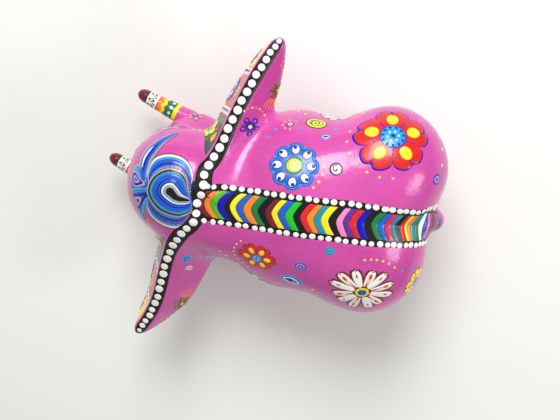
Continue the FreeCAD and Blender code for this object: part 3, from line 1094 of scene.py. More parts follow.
@dataclass
class Motifs:
    """The painter's set of flowers, eyes, spirals and dots, each drawn round a spot."""

    brush: Brushwork

    def ring_of_dots(self, count: int, radius: float, dot: float, paint: Paint, layer: int,
                     begin: float = 0.0, sweep: float = 360.0, stretch: float = 1.0) -> None:
        """Dots evenly round part of a circle; angles in degrees.

        Args:
            count: how many.
            radius: distance from the middle.
            dot: radius of a dot.
            paint: their colour.
            layer: how many coats lie below.
            begin: degrees to the first.
            sweep: degrees covered.
            stretch: height over width.
        """
        full = sweep >= 360
        angles = np.radians(begin + sweep * np.arange(count) / (count if full else max(count - 1, 1)))
        for angle in angles:
            self.brush.disc((radius * math.cos(angle), stretch * radius * math.sin(angle)),
                            dot, paint, layer, turns=12)

    def eye_flower(self, size: float) -> None:
        """Blue flower of eight petals, each a white drop with a pupil, round a spiral.

        Args:
            size: radius in millimetres.
        """
        brush, k = self.brush, size / 15.5
        for reach, paint, layer in ((15.5, Paint.BLUE, 1), (14.6, Paint.SKY, 2), (13.9, Paint.BLUE, 3)):
            brush.blob(k * polar(lambda a, r=reach: r - 2.6 * (1 - np.abs(np.cos(4 * a + 0.4)) ** 0.6),
                                 112), (0, 0), paint, layer)
        for i in range(8):
            angle = (i + 0.5) * math.pi / 4 + 0.29
            out = heading(angle)
            brush.disc(k * 10.2 * out, 3.5 * k, Paint.NAVY, 4, stretch=0.80, turn=angle)
            brush.disc(k * 10.3 * out, 3.0 * k, Paint.WHITE, 5, stretch=0.80, turn=angle)
            brush.disc(k * 11.6 * out + k * 0.4 * np.array([-out[1], out[0]]), 1.35 * k, Paint.NAVY, 6,
                       turns=12)
            gap = angle + math.pi / 8
            brush.disc(k * 13.0 * heading(gap), 0.7 * k, Paint.SKY, 5, turns=10)
        brush.disc((0, 0), 6.0 * k, Paint.NAVY, 4)
        brush.disc((0, 0), 5.4 * k, Paint.LIME, 5)
        brush.disc((0, 0), 4.6 * k, Paint.LEMON, 6)
        self.spiral(3.9 * k, 0.55 * k, Paint.LIME, 7)

    def spiral(self, size: float, width: float, paint: Paint, layer: int, rounds: float = 1.8) -> None:
        """A coil: distance from the middle grows evenly with the angle.

        Args:
            size: radius in millimetres.
            width: full width in millimetres.
            paint: its colour.
            layer: how many coats lie below.
            rounds: how many times round.
        """
        angle = np.linspace(0.6, rounds * 2 * math.pi, 44)
        reach = size * angle / angle[-1]
        coil = np.stack([reach * np.cos(angle), reach * np.sin(angle)], -1)
        self.brush.stroke(coil, width, paint, layer)

    def heart_flower(self, size: float, petals: int, petal: Paint, edge: Paint, oval: Paint,
                     heart: Paint = Paint.SKY, begin: float = 90.0, flat: float = 1.0) -> None:
        """Broad notched petals with an oval on each, round a beaded centre.

        The outline's reach is its least plus the rest times the root of a cosine lobe, less a
        small notch at the middle of every petal.

        Args:
            size: radius in millimetres.
            petals: how many petals.
            petal: colour of the petals.
            edge: colour of their edge.
            oval: colour of the oval on each.
            heart: colour of the heart.
            begin: degrees to the first petal.
            flat: height over width.
        """
        brush, k = self.brush, size / 21.0
        start = math.radians(begin)

        def outline(grow: float) -> Callable[[Array], Array]:
            """Reach of the petals' edge, drawn in or out a little.

            Args:
                grow: how far outwards.
            Returns:
                Reach by angle.
            """
            def reach(a: Array) -> Array:
                """Distance from the middle at each angle.

                Args:
                    a: angles.
                Returns:
                    Distances.
                """
                phase = (a - start) * petals / 2
                lobe = np.abs(np.cos(phase)) ** 0.36
                notch = np.exp(-(np.sin(phase) / 0.23) ** 2)
                return grow + 12.5 + 8.5 * lobe - 2.6 * notch
            return reach

        squash = np.array([1.0, flat])
        brush.blob(k * polar(outline(0.7), 160) * squash, (0, 0), edge, 1)
        brush.blob(k * polar(outline(-0.4), 160) * squash, (0, 0), petal, 2)
        for i in range(petals):
            angle = start + 2 * math.pi * i / petals
            out = heading(angle) * squash
            across = np.array([-math.sin(angle), math.cos(angle)]) * squash
            brush.stroke(np.stack([k * t * out + k * 0.9 * math.sin(t) * across
                                   for t in np.linspace(16, 19.4, 6)]), 0.7 * k, edge, 3)
            brush.disc(k * 11.2 * out, 4.15 * k, Paint.ORANGE, 3, stretch=0.86 * flat, turn=angle)
            brush.disc(k * 11.2 * out, 3.9 * k, oval, 4, stretch=0.85 * flat, turn=angle)
            gap = angle + math.pi / petals
            valley = heading(gap) * squash
            brush.stroke(np.stack([k * 7 * valley, k * 10.8 * valley]), 0.8 * k, edge, 3)
        brush.disc((0, 0), 6.9 * k, edge, 4, stretch=flat)
        brush.disc((0, 0), 6.5 * k, heart, 5, stretch=flat)
        self.ring_of_dots(11, 5.1 * k, 0.8 * k, Paint.NAVY, 6, stretch=flat)
        self.ring_of_dots(6, 2.7 * k, 0.65 * k, Paint.CREAM, 6, stretch=flat)
        brush.disc((0, 0), 1.3 * k, Paint.NAVY, 6, turns=12)

    def daisy(self, size: float, petals: int = 12, flat: float = 0.84) -> None:
        """Long white petals with feathery warm streaks round a ringed centre.

        Args:
            size: radius in millimetres.
            petals: how many petals.
            flat: height over width.
        """
        brush, k = self.brush, size / 22.0
        squash = np.array([1.0, flat])
        for i in range(petals):
            angle = 2 * math.pi * (i + 0.3 + 0.09 * math.sin(2.3 * i)) / petals
            long = 1.0 + 0.06 * math.sin(1.7 * i + 0.5)
            out = heading(angle)
            side = np.array([-out[1], out[0]])
            shape = np.array([(4, -1.0), (9, -2.9), (15, -4.1), (19, -3.6), (20.6, -2.2),
                              (20.2, -1.0), (21.8, 0.0), (20.3, 1.1), (20.7, 2.3), (19, 3.6),
                              (15, 4.1), (9, 2.9), (4, 1.0)])
            for grow, paint, layer in ((1.0, Paint.MAROON, 1), (0.68, Paint.WHITE, 3)):
                knots = np.stack([shape[:, 0] * long - (1 - grow) * 3.4, shape[:, 1] * grow], -1)
                flatted = (knots[:, :1] * out + knots[:, 1:] * side) * squash * k
                brush.blob(closed_curve(flatted, 52), k * 13 * out * squash, paint, layer + i % 2)
            brush.disc(k * 14.6 * long * out * squash, 2.7 * k, Paint.ORANGE, 4, stretch=0.42, turn=angle)
            brush.disc(k * 14.9 * long * out * squash, 1.7 * k, Paint.RED, 5, stretch=0.36, turn=angle)
            for slide, paint in ((-0.7, Paint.RED), (0.7, Paint.RED)):
                tip = 12.0 * long
                t = np.linspace(0, 1, 7)[:, None]
                path = ((5.5 + (tip - 5.5) * t) * out + (0.35 + 0.65 * t) * slide * side) * squash * k
                brush.stroke(path, k * np.linspace(0.9, 0.3, 7), paint, 4)
            brush.disc(k * 18.9 * long * out * squash, 0.55 * k, Paint.RED, 4, turns=8)
        for reach, paint, layer in ((5.2, Paint.MAROON, 4), (3.9, Paint.YELLOW, 5), (2.8, Paint.LIME, 6),
                                    (2.1, Paint.NAVY, 7)):
            brush.disc((0, 0), reach * k * 1.15, paint, layer, stretch=flat)
        self.ring_of_dots(4, 0.9 * k, 0.45 * k, Paint.SKY, 8)

    def round_flower(self, size: float, petals: int, petal: Paint, edge: Paint, heart: Paint) -> None:
        """Little flower of round petals with a lighter touch on each.

        Args:
            size: radius in millimetres.
            petals: how many petals.
            petal: colour of the petals.
            edge: colour of their edge.
            heart: colour of the heart.
        """
        brush = self.brush
        brush.disc((0, 0), 0.5 * size, edge, 1)
        for i in range(petals):
            angle = 2 * math.pi * i / petals + 0.3
            out = heading(angle) * size * 0.62
            brush.disc(out, 0.38 * size, edge, 1, stretch=0.8, turn=angle)
            brush.disc(out, 0.32 * size, petal, 2, stretch=0.78, turn=angle)
            brush.disc(out * 1.12, 0.12 * size, Paint.PALE_PINK, 3, stretch=0.6, turn=angle, turns=10)
        brush.disc((0, 0), 0.27 * size, edge, 3, turns=14)
        brush.disc((0, 0), 0.21 * size, heart, 4, turns=14)

    def almond(self, size: float) -> None:
        """Long blue eye: sky edge, blue, white slip and a black slit with a lit corner.

        Args:
            size: radius in millimetres.
        """
        brush = self.brush
        for reach, wide, paint, layer in ((1.0, 0.62, Paint.SKY, 1), (0.88, 0.52, Paint.BLUE, 2),
                                          (0.74, 0.40, Paint.WHITE, 3), (0.60, 0.27, Paint.BLUE, 4),
                                          (0.44, 0.17, Paint.BLACK, 5)):
            brush.blob(size * leaf(reach, wide, 0.45, 44), (0, 0), paint, layer)
        brush.disc((0.18 * size, 0.05 * size), 0.07 * size, Paint.WHITE, 6, turns=10)

    def cat_curl(self, size: float) -> None:
        """White button with a black comma curled in it.

        Args:
            size: radius in millimetres.
        """
        brush = self.brush
        brush.disc((0, 0), 1.05 * size, Paint.BLACK, 1)
        brush.disc((0.05 * size, -0.06 * size), 0.84 * size, Paint.WHITE, 2)
        a = np.linspace(1.2, 6.6, 30)
        reach = size * np.linspace(0.62, 0.10, 30)
        brush.stroke(np.stack([reach * np.cos(a), reach * np.sin(a)], -1),
                     size * np.linspace(0.16, 0.40, 30), Paint.BLACK, 3)

    def snail(self, size: float) -> None:
        """Yellow-green oval with a dark coil and a dotted edge.

        Args:
            size: radius in millimetres.
        """
        brush = self.brush
        brush.disc((0, 0), size, Paint.BOTTLE, 1, stretch=0.82)
        brush.disc((0, 0), 0.9 * size, Paint.LEMON, 2, stretch=0.8)
        brush.disc((0, 0), 0.72 * size, Paint.LIME, 3, stretch=0.78)
        brush.disc((0, 0), 0.56 * size, Paint.LEMON, 4, stretch=0.76)
        self.spiral(0.44 * size, 0.13 * size, Paint.BOTTLE, 5, 1.6)

    def bullseye(self, size: float, rings: Sequence[Paint]) -> None:
        """Rings of colour, each drawn in by an even step."""
        for i, paint in enumerate(rings):
            self.brush.disc((0, 0), size * (1 - i / len(rings)), paint, 1 + i, stretch=0.86)


# ---------------------------------------------------------------- painted areas

@dataclass
class SpineBand:
    """Black band down the spine with two rows of white dots and a row of chevrons between."""

    form: ElephantForm
    half_width: float = 14.3
    dot_row: float = 11.7
    dot_gap: float = 5.25
    dot_radius: float = 2.0
    chevron_half: float = 9.1
    marks: tuple = ((0, 5, 28, 36, 43), (8.9, 28.5, 130.0, 153.5, 173.0))
    colours: tuple = (Paint.MAROON, Paint.ORANGE, Paint.LIME, Paint.NAVY, Paint.BLACK, Paint.YELLOW,
                      Paint.BLUE, Paint.ORANGE, Paint.GREEN, Paint.BLACK, Paint.MAROON, Paint.YELLOW,
                      Paint.BLUE, Paint.BRIGHT_GREEN, Paint.BLACK, Paint.RED, Paint.ORANGE, Paint.TEAL,
                      Paint.YELLOW, Paint.BLACK, Paint.PALE_PINK, Paint.PURPLE, Paint.RED, Paint.NAVY,
                      Paint.BLACK, Paint.GREEN, Paint.BLUE, Paint.CRIMSON, Paint.TEAL, Paint.BLACK,
                      Paint.RED, Paint.YELLOW, Paint.ORANGE, Paint.TEAL, Paint.GREEN, Paint.WHITE,
                      Paint.BLUE, Paint.PALE_PINK, Paint.RUST, Paint.PURPLE, Paint.RED,
                      Paint.TEAL)

    def trail(self) -> Trail:
        """Line from the neck back over the rump to the tail root, wandering as a hand does.

        Returns:
            The line.
        """
        x = np.linspace(69, -93, 60)
        sway = np.interp(x, [-75, -35, 0, 33, 68], [1.3, 0.6, 1.0, 1.9, 2.4])
        inner = np.stack([0.75 * x, sway, np.full(60, 72.0)], -1) + self.form.shift
        out = unit(np.stack([0.4 * x, 0 * x, np.full(60, 40.0)], -1))
        return Trail(self.form, self.form.cast(inner + 75 * out, -out))

    def edge(self, across: Array, number: float) -> Array:
        """Line of one chevron: its start, plus a bow that turns from an arc at the neck to a
        shallow point at the rump.

        Args:
            across: distances from the band's middle.
            number: number of the chevron.
        Returns:
            Distance along the band.
        """
        share = number / len(self.colours)
        bulge = np.interp(share, [0, 0.35, 0.7, 1], [6.2, 5.2, 3.8, 1.2])
        power = np.interp(share, [0, 0.25, 0.5, 1], [2.0, 1.35, 1.5, 1.9])
        wobble = 0.35 * np.sin(5.1 * number) + 0.2 * np.sin(1.9 * number + across / 4)
        return self.place(number) + wobble + bulge * np.abs(across / self.chevron_half) ** power

    def place(self, number: float) -> float:
        """Distance along the band where a chevron's middle starts: even steps over the back,
        shorter ones over the rump."""
        return float(np.interp(number, *self.marks))

    def build(self) -> bpy.types.Object:
        """Lay the band, the chevrons, then the dots.

        Returns:
            The painted piece.
        """
        trail = self.trail()
        brush = Brushwork(self.form, "spine_band", trail)
        length = min(trail.length, self.place(len(self.colours)) + 1)
        run = np.linspace(1.5, length, 140)
        brush.stroke(np.stack([run, 0.25 * np.sin(run / 7)], -1), 2 * self.half_width, Paint.BLACK, 1,
                     across=23)
        across = np.linspace(-self.chevron_half, self.chevron_half, 15)
        for number, paint in enumerate(self.colours):
            if paint is Paint.BLACK:
                continue
            lines = [self.edge(across, number + t) for t in (0.02, 0.1, 0.5, 0.9, 0.99)]
            grid = np.stack([np.stack([line, across], -1) for line in lines])
            grid[..., 0] = np.minimum(grid[..., 0], length)
            brush.panel(grid, paint, 3.4)
        rows = np.concatenate([np.arange(13.6, 124, self.dot_gap), np.arange(124.6, length - 1, 4.3)])
        for side in (-1, 1):
            for i, distance in enumerate(rows):
                along = distance + 0.3 * math.sin(3.7 * i + side)
                off = side * (self.dot_row + 0.2 * math.sin(2.3 * i))
                size = self.dot_radius * (1 + 0.07 * math.sin(4.1 * i + 2 * side))
                brush.sheet = trail.patch(along, off)
                brush.disc((0, 0), size, Paint.WHITE, 3, relief=0.25, stretch=0.92, turns=16)
        return brush.finish()


@dataclass
class RimBand:
    """Black ribbon with fat white dots from one ear tip over the neck to the other."""

    form: ElephantForm
    width: float = 10.5
    gap: float = 6.3
    dot_radius: float = 2.75
    neck: tuple = ((66.2, -24.5, 108), (68.7, -20, 109.5), (69.3, -15, 111.5), (69, -9, 112.5),
                   (70.2, -3, 113), (71.5, 3, 112), (71.8, 9, 111), (73.2, 15, 111), (76.5, 20.3, 109.3),
                   (80.8, 25.5, 106.8))

    def trail(self) -> Trail:
        """Along the right rim inwards, over the neck, and out along the left rim.

        Returns:
            The line.
        """
        form = self.form
        reach = np.array([103.2, 100, 96, 90, 82, 74, 66, 58, 50, 42, 34, 27])
        none = np.zeros(len(reach))
        guide = np.concatenate([form.ear_points(-1, reach, none, none),
                                np.array(self.neck) + form.shift,
                                form.ear_points(1, reach[::-1], none, none)])
        return Trail(form, open_curve(guide, 260))

    def build(self) -> bpy.types.Object:
        """Lay the ribbon, then the dots, smaller at both tips.

        Returns:
            The painted piece.
        """
        trail = self.trail()
        brush = Brushwork(self.form, "rim_band", trail)
        run = np.linspace(0.0, trail.length, 300)
        tip = np.minimum(run, trail.length - run)
        width = self.width * np.interp(tip, [0, 6, 30], [0.45, 0.8, 1.0])
        brush.stroke(np.stack([run, 0.3 * np.sin(run / 9)], -1), width, Paint.BLACK, 1.8, across=21)
        along = 2.0
        number = 0
        while along < trail.length - 1.5:
            near = min(along, trail.length - along)
            size = self.dot_radius * np.interp(near, [0, 15, 45], [0.62, 0.85, 1.0])
            size *= 1 + 0.06 * math.sin(3.1 * number)
            brush.sheet = trail.patch(along, 0.35 * math.sin(2.2 * number))
            brush.disc((0, 0), size, Paint.WHITE, 2.8, relief=0.3, turns=18)
            along += 2.32 * size
            number += 1
        return brush.finish()


@dataclass
class CrownSwirl:
    """Great blue comma on the crown between two crescents, with a star and a horn before it."""

    form: ElephantForm
    middle: tuple = (88.4, -2.6, 116)
    heart: tuple = ((-2.7, 0.8), (-1.9, 2.4), (-0.4, 3.1), (1.4, 2.4), (2.9, 0.2), (5.4, -2.2),
                    (10.8, -3.9), (10.8, -4.8), (5.4, -5.0), (1.9, -3.9), (-0.4, -2.0),
                    (-2.2, -0.5))
    ring: tuple = ((-14.1, 1.7), (-10.5, 9.0), (-3.5, 13.2), (3.4, 13.0), (8.3, 9.2), (10.2, 3.5),
                   (11.0, -2.2), (12.2, -10.0), (6.5, -13.6), (0.0, -13.4), (-7.6, -10.0),
                   (-12.4, -4.2))
    rim: tuple = ((-16.5, 3.0), (-13.0, 19.0), (-5.2, 23.8), (4.6, 22.8), (10.8, 18.2),
                  (13.6, 11.0), (12.6, 1.0), (12.2, -12.5), (8.3, -19.0), (1.6, -22.8),
                  (-8.6, -20.3), (-16.0, -12.3))

    def between(self, inner: tuple, outer: tuple, share: float) -> Array:
        """Twelve guide points: the inner ones plus a share of the way to the outer ones."""
        low, high = np.array(inner, float), np.array(outer, float)
        return low + share * (high - low)

    def build(self) -> bpy.types.Object:
        """Paint the crescents, the star, the rings of the comma and its beads, in that order.

        Returns:
            The painted piece.
        """
        right = unit([-0.99, -0.139, 0.0])
        back = np.array([0.0, -0.225, 0.974])
        up = np.cross(back, right)
        sheet = Stencil(self.form, np.array(self.middle) + self.form.shift, right, up)
        brush = Brushwork(self.form, "crown_swirl", sheet)
        bands = ((1.05, Paint.BLACK), (1.0, Paint.TAN), (0.95, Paint.WHITE), (0.84, Paint.SKY),
                 (0.69, Paint.BLUE), (0.47, Paint.NAVY), (0.38, Paint.BLUE), (0.29, Paint.SKY))
        for number, (share, paint) in enumerate(bands):
            outline = closed_curve(self.between(self.ring, self.rim, share), 110)
            brush.blob(outline, (0, 0), paint, 0.4 + 0.6 * number, relief=0.05)
        for share, span, count in ((0.17, (1, 2, 3, 4, 5, 6), 13), (0.66, (7, 8, 9, 10), 7)):
            line = open_curve(self.between(self.ring, self.rim, share)[list(span)], 60)
            for place in np.linspace(4, 56, count).astype(int):
                brush.disc(line[place], 0.75, Paint.RED, 6, turns=10)
        self.star(brush)
        rings = ((1.10, Paint.TAN), (1.03, Paint.BLACK), (0.93, Paint.SKY), (0.79, Paint.BLUE),
                 (0.53, Paint.NAVY), (0.46, Paint.BLUE), (0.33, Paint.NAVY), (0.26, Paint.WHITE),
                 (0.17, Paint.SKY), (0.09, Paint.TAN), (0.02, Paint.BLACK))
        for number, (share, paint) in enumerate(rings):
            middle = (0.4, 0.3) if share > 0.2 else (2.0, -1.2)
            outline = closed_curve(self.between(self.heart, self.ring, share), 90)
            brush.blob(outline, middle, paint, 11 + 0.6 * number, relief=0.04)
        around = self.between(self.heart, self.ring, 0.86)[[6, 5, 4, 3, 2, 1, 0, 11, 10, 9, 8, 7]]
        line = open_curve(around, 200)
        for place in np.linspace(6, 190, 36).astype(int):
            brush.disc(line[place], 0.72, Paint.TEAL, 14, stretch=0.8, turns=10)
        return brush.finish()

    def star(self, brush: Brushwork) -> None:
        """Blue ground with a framed petal, lines running to the comma, and a long curved horn.

        Args:
            brush: brush to draw with.
        """
        ground = ((-24.0, 16.5), (-26.8, 11), (-27.6, 6), (-27.0, 1.5), (-25.3, -5), (-22.8, -11),
                  (-20.3, -17.4), (-18.0, -12), (-15, -5), (-14.4, 2), (-14.3, 9), (-16.5, 13.5),
                  (-20.0, 16.5))
        for grow, paint, layer in ((1.03, Paint.TAN, 6.0), (0.98, Paint.BLUE, 6.5)):
            outline = closed_curve(np.array((-20.5, 2.0)) + grow * (np.array(ground) - (-20.5, 2.0)), 90)
            brush.blob(outline, (-20.5, 2.0), paint, layer, relief=0.05)
        lines = (([(-24.2, 15.4), (-20.6, 11.6), (-15.4, 6.4)], 3.4, 1.6, Paint.SKY, 7.2),
                 ([(-22.4, 16.0), (-19.0, 11.4), (-15.0, 8.0)], 1.5, 0.8, Paint.TEAL, 7.7),
                 ([(-26.4, 1.9), (-20.0, 2.2), (-14.8, 2.4)], 1.5, 1.2, Paint.SKY, 7.2),
                 ([(-26.2, 0.2), (-20.0, 0.6), (-14.8, 1.0)], 1.2, 1.0, Paint.TEAL, 7.7),
                 ([(-25.8, -1.6), (-20.0, -1.3), (-15.0, -0.4)], 1.8, 1.4, Paint.NAVY, 7.2),
                 ([(-15.2, -0.8), (-18.8, -4.6), (-22.9, -9.6)], 2.0, 1.5, Paint.NAVY, 7.8),
                 ([(-15.2, -3.4), (-18.2, -8.0), (-20.4, -16.2)], 2.6, 0.8, Paint.SKY, 8.2),
                 ([(-15.6, -4.6), (-18.0, -9.4), (-19.9, -15.2)], 1.0, 0.5, Paint.TEAL, 8.8))
        for path, begin, end, paint, layer in lines:
            brush.stroke(open_curve(path, 16), np.linspace(begin, end, 16), paint, layer)
        petals = (([(-26.3, 12.6), (-23.6, 13.4), (-20.0, 8.8), (-16.4, 5.0), (-23.6, 3.4),
                    (-26.3, 7.6)], (-23.0, 8.2),
                   ((1.0, Paint.TAN), (0.85, Paint.NAVY), (0.52, Paint.LILAC), (0.26, Paint.BLUE))),
                  ([(-24.4, -3.2), (-19.6, -3.4), (-22.2, -8.4)], (-22.3, -4.7),
                   ((1.0, Paint.TAN), (0.5, Paint.NAVY))))
        for knots, heart, steps in petals:
            for step, (grow, paint) in enumerate(steps):
                outline = closed_curve(np.array(heart) + grow * (np.array(knots) - heart), 48)
                brush.blob(outline, heart, paint, 8.6 + 0.5 * step, relief=0.04)
        path = open_curve([(-17.6, 7.5), (-17.8, 14.0), (-16.2, 21.5), (-11.6, 28.0),
                           (-5.6, 33.4), (1.8, 37.2)], 40)
        width = np.interp(np.linspace(0, 1, 40), [0, 0.25, 0.5, 0.75, 1], [3.6, 7.2, 7.6, 4.6, 0.5])
        for share, paint, layer in ((1.12, Paint.TAN, 7.0), (1.0, Paint.SKY, 7.6),
                                    (0.74, Paint.BLUE, 8.2)):
            brush.stroke(path, share * width, paint, layer, across=7)
        brush.stroke(path[6:30], 0.42 * width[6:30] * np.sin(np.linspace(0.3, 3.0, 24)), Paint.NAVY, 8.8)
        sliver = path[9:25] + np.array([-1.1, 0.2])
        brush.stroke(sliver, 1.5 * np.sin(np.linspace(0.2, 3.0, 16)), Paint.WHITE, 9.4)


@dataclass
class EarPainting:
    """Fan-shaped fields of colour on an ear's front and small motifs on both faces."""

    form: ElephantForm
    side: int
    fields: tuple = ((17.0, 46.0, Paint.BOTTLE), (46.0, 51.0, Paint.WHITE), (51.0, 74.0, Paint.BRICK),
                     (74.0, 79.0, Paint.WHITE), (79.0, 98.5, Paint.LEMON))

    def front(self, flat: Array) -> Array:
        """Space points near the front face for (along the rim, down from it)."""
        out = 3.5 + np.minimum(0.40 * flat[:, 1], 9.0)
        return self.form.settle(self.form.ear_points(self.side, flat[:, 0], flat[:, 1], out), rounds=1)

    def back(self, flat: Array) -> Array:
        """Space points near the back face for (along the rim, down from it).

        Args:
            flat: points on the sheet.
        Returns:
            Row points near the face.
        """
        thick = 30.0 * (1 - flat[:, 0] / 118.0)
        out = -3.5 - np.minimum(0.80 * flat[:, 1], np.maximum(thick, 4.0))
        return self.form.settle(self.form.ear_points(self.side, flat[:, 0], flat[:, 1], out), rounds=1)

    def drop(self, along: Array | float) -> Array | float:
        """How far down the ear reaches at a distance along the rim: an ellipse's half chord."""
        return self.form.ear_drop * np.sqrt(np.maximum(1 - (along / self.form.ear_length) ** 2, 0.0))

    def build(self) -> bpy.types.Object:
        """Paint the front's fields and borders, then the motifs on both faces.

        Returns:
            The painted piece.
        """
        side = "left" if self.side > 0 else "right"
        brush = Brushwork(self.form, "ear_paint_" + side, self.front)
        for number, (begin, end, paint) in enumerate(self.fields):
            along = np.linspace(begin - 0.4, end + 0.4, max(int((end - begin) / 1.4), 5))
            down = np.linspace(0.012, 0.93, 40)
            grid = np.stack(np.broadcast_arrays(
                along[:, None], 1.6 + down[None] * (self.drop(along)[:, None] - 1.6)), -1)
            brush.panel(grid, paint, 0.2 + 0.5 * (number % 2))
        along = np.linspace(17, 101.5, 90)
        hem = np.stack([along, 0.93 * self.drop(along)], -1)
        brush.stroke(hem, 3.0, Paint.BLACK, 4)
        for a in np.arange(19, 100, 4.1):
            brush.disc((a, 0.93 * self.drop(a)), 1.0, Paint.WHITE, 5, turns=12)
        self.front_motifs(brush)
        self.back_motifs(brush)
        return brush.finish()

    def moved(self, sheet: Callable[[Array], Array], a: float, b: float) -> Callable[[Array], Array]:
        """The same face with the sheet's middle moved."""
        return lambda flat: sheet(flat + np.array([a, b]))

    def front_motifs(self, brush: Brushwork) -> None:
        """A flower on each field, rings of colour beside them and dots along the stripes.

        Args:
            brush: brush to draw with.
        """
        motifs = Motifs(brush)
        brush.sheet = self.moved(self.front, 32.5, 24)
        under, brush.base = brush.base, 3
        motifs.round_flower(9.5, 7, Paint.YELLOW, Paint.BRIGHT_GREEN, Paint.RED)
        motifs.ring_of_dots(14, 12.2, 0.8, Paint.ORANGE, 1)
        brush.sheet = self.moved(self.front, 31.5, 46)
        motifs.bullseye(5.5, (Paint.SKY, Paint.NAVY, Paint.WHITE, Paint.RED))
        brush.sheet = self.moved(self.front, 30, 9)
        motifs.bullseye(3.6, (Paint.ORANGE, Paint.YELLOW, Paint.RED))
        brush.sheet = self.moved(self.front, 62.5, 24)
        motifs.heart_flower(9.5, 5, Paint.SKY, Paint.NAVY, Paint.WHITE, Paint.YELLOW)
        brush.sheet = self.moved(self.front, 62.5, 42)
        motifs.bullseye(4.2, (Paint.YELLOW, Paint.GREEN, Paint.WHITE))
        brush.sheet = self.moved(self.front, 62, 9)
        motifs.bullseye(3.6, (Paint.YELLOW, Paint.NAVY, Paint.WHITE))
        brush.sheet = self.moved(self.front, 88, 16)
        motifs.round_flower(7.0, 6, Paint.CRIMSON, Paint.NAVY, Paint.SKY)
        brush.sheet = self.front
        for along in (48.5, 76.5):
            for down in np.arange(5, 0.86 * self.drop(along), 3.6):
                brush.disc((along, down), 0.95, Paint.RED if round(down) % 2 else Paint.NAVY, 1, turns=10)
        brush.base = under

    def back_motifs(self, brush: Brushwork) -> None:
        """Purple flower with an arc of dots near the root; sprays and curls further out.

        Args:
            brush: brush to draw with.
        """
        motifs = Motifs(brush)
        if self.side < 0:
            brush.sheet = self.moved(self.back, 46, 9)
            motifs.round_flower(7.0, 5, Paint.PURPLE, Paint.NAVY, Paint.YELLOW)
            for i, angle in enumerate(np.radians(np.linspace(-60, 70, 9))):
                brush.disc((2 + 10.5 * math.cos(angle), 9.5 * math.sin(angle)), 0.75,
                           Paint.ORANGE if i % 2 else Paint.YELLOW, 1, turns=10)
        else:
            brush.sheet = self.moved(self.back, 34, 9)
            motifs.bullseye(3.6, (Paint.SKY, Paint.BLUE, Paint.SKY))
            brush.sheet = self.moved(self.back, 43, 13)
            motifs.spiral(2.3, 0.55, Paint.WHITE, 1)
        brush.sheet = self.moved(self.back, 74, 15)
        motifs.round_flower(6.5, 6, Paint.RUST, Paint.GREEN, Paint.YELLOW)
        for i in range(5):
            line = open_curve([(-13, -4 + 2 * i), (-9, -3 + 1.6 * i), (-6, -1 + i)], 10)
            brush.stroke(line, np.linspace(0.4, 1.1, 10), Paint.ORANGE, 1)
        brush.sheet = self.moved(self.back, 90, 10)
        motifs.ring_of_dots(6, 3.2, 0.8, Paint.ORANGE, 1)
        brush.disc((0, 0), 1.2, Paint.GREEN, 1, turns=12)
        brush.sheet = self.moved(self.back, 28, 22)
        motifs.almond(6.0)
        brush.sheet = self.moved(self.back, 62, 34)
        motifs.eye_flower(9.0)
        brush.sheet = self.moved(self.back, 40, 44)
        motifs.heart_flower(9.5, 5, Paint.RED, Paint.NAVY, Paint.YELLOW)


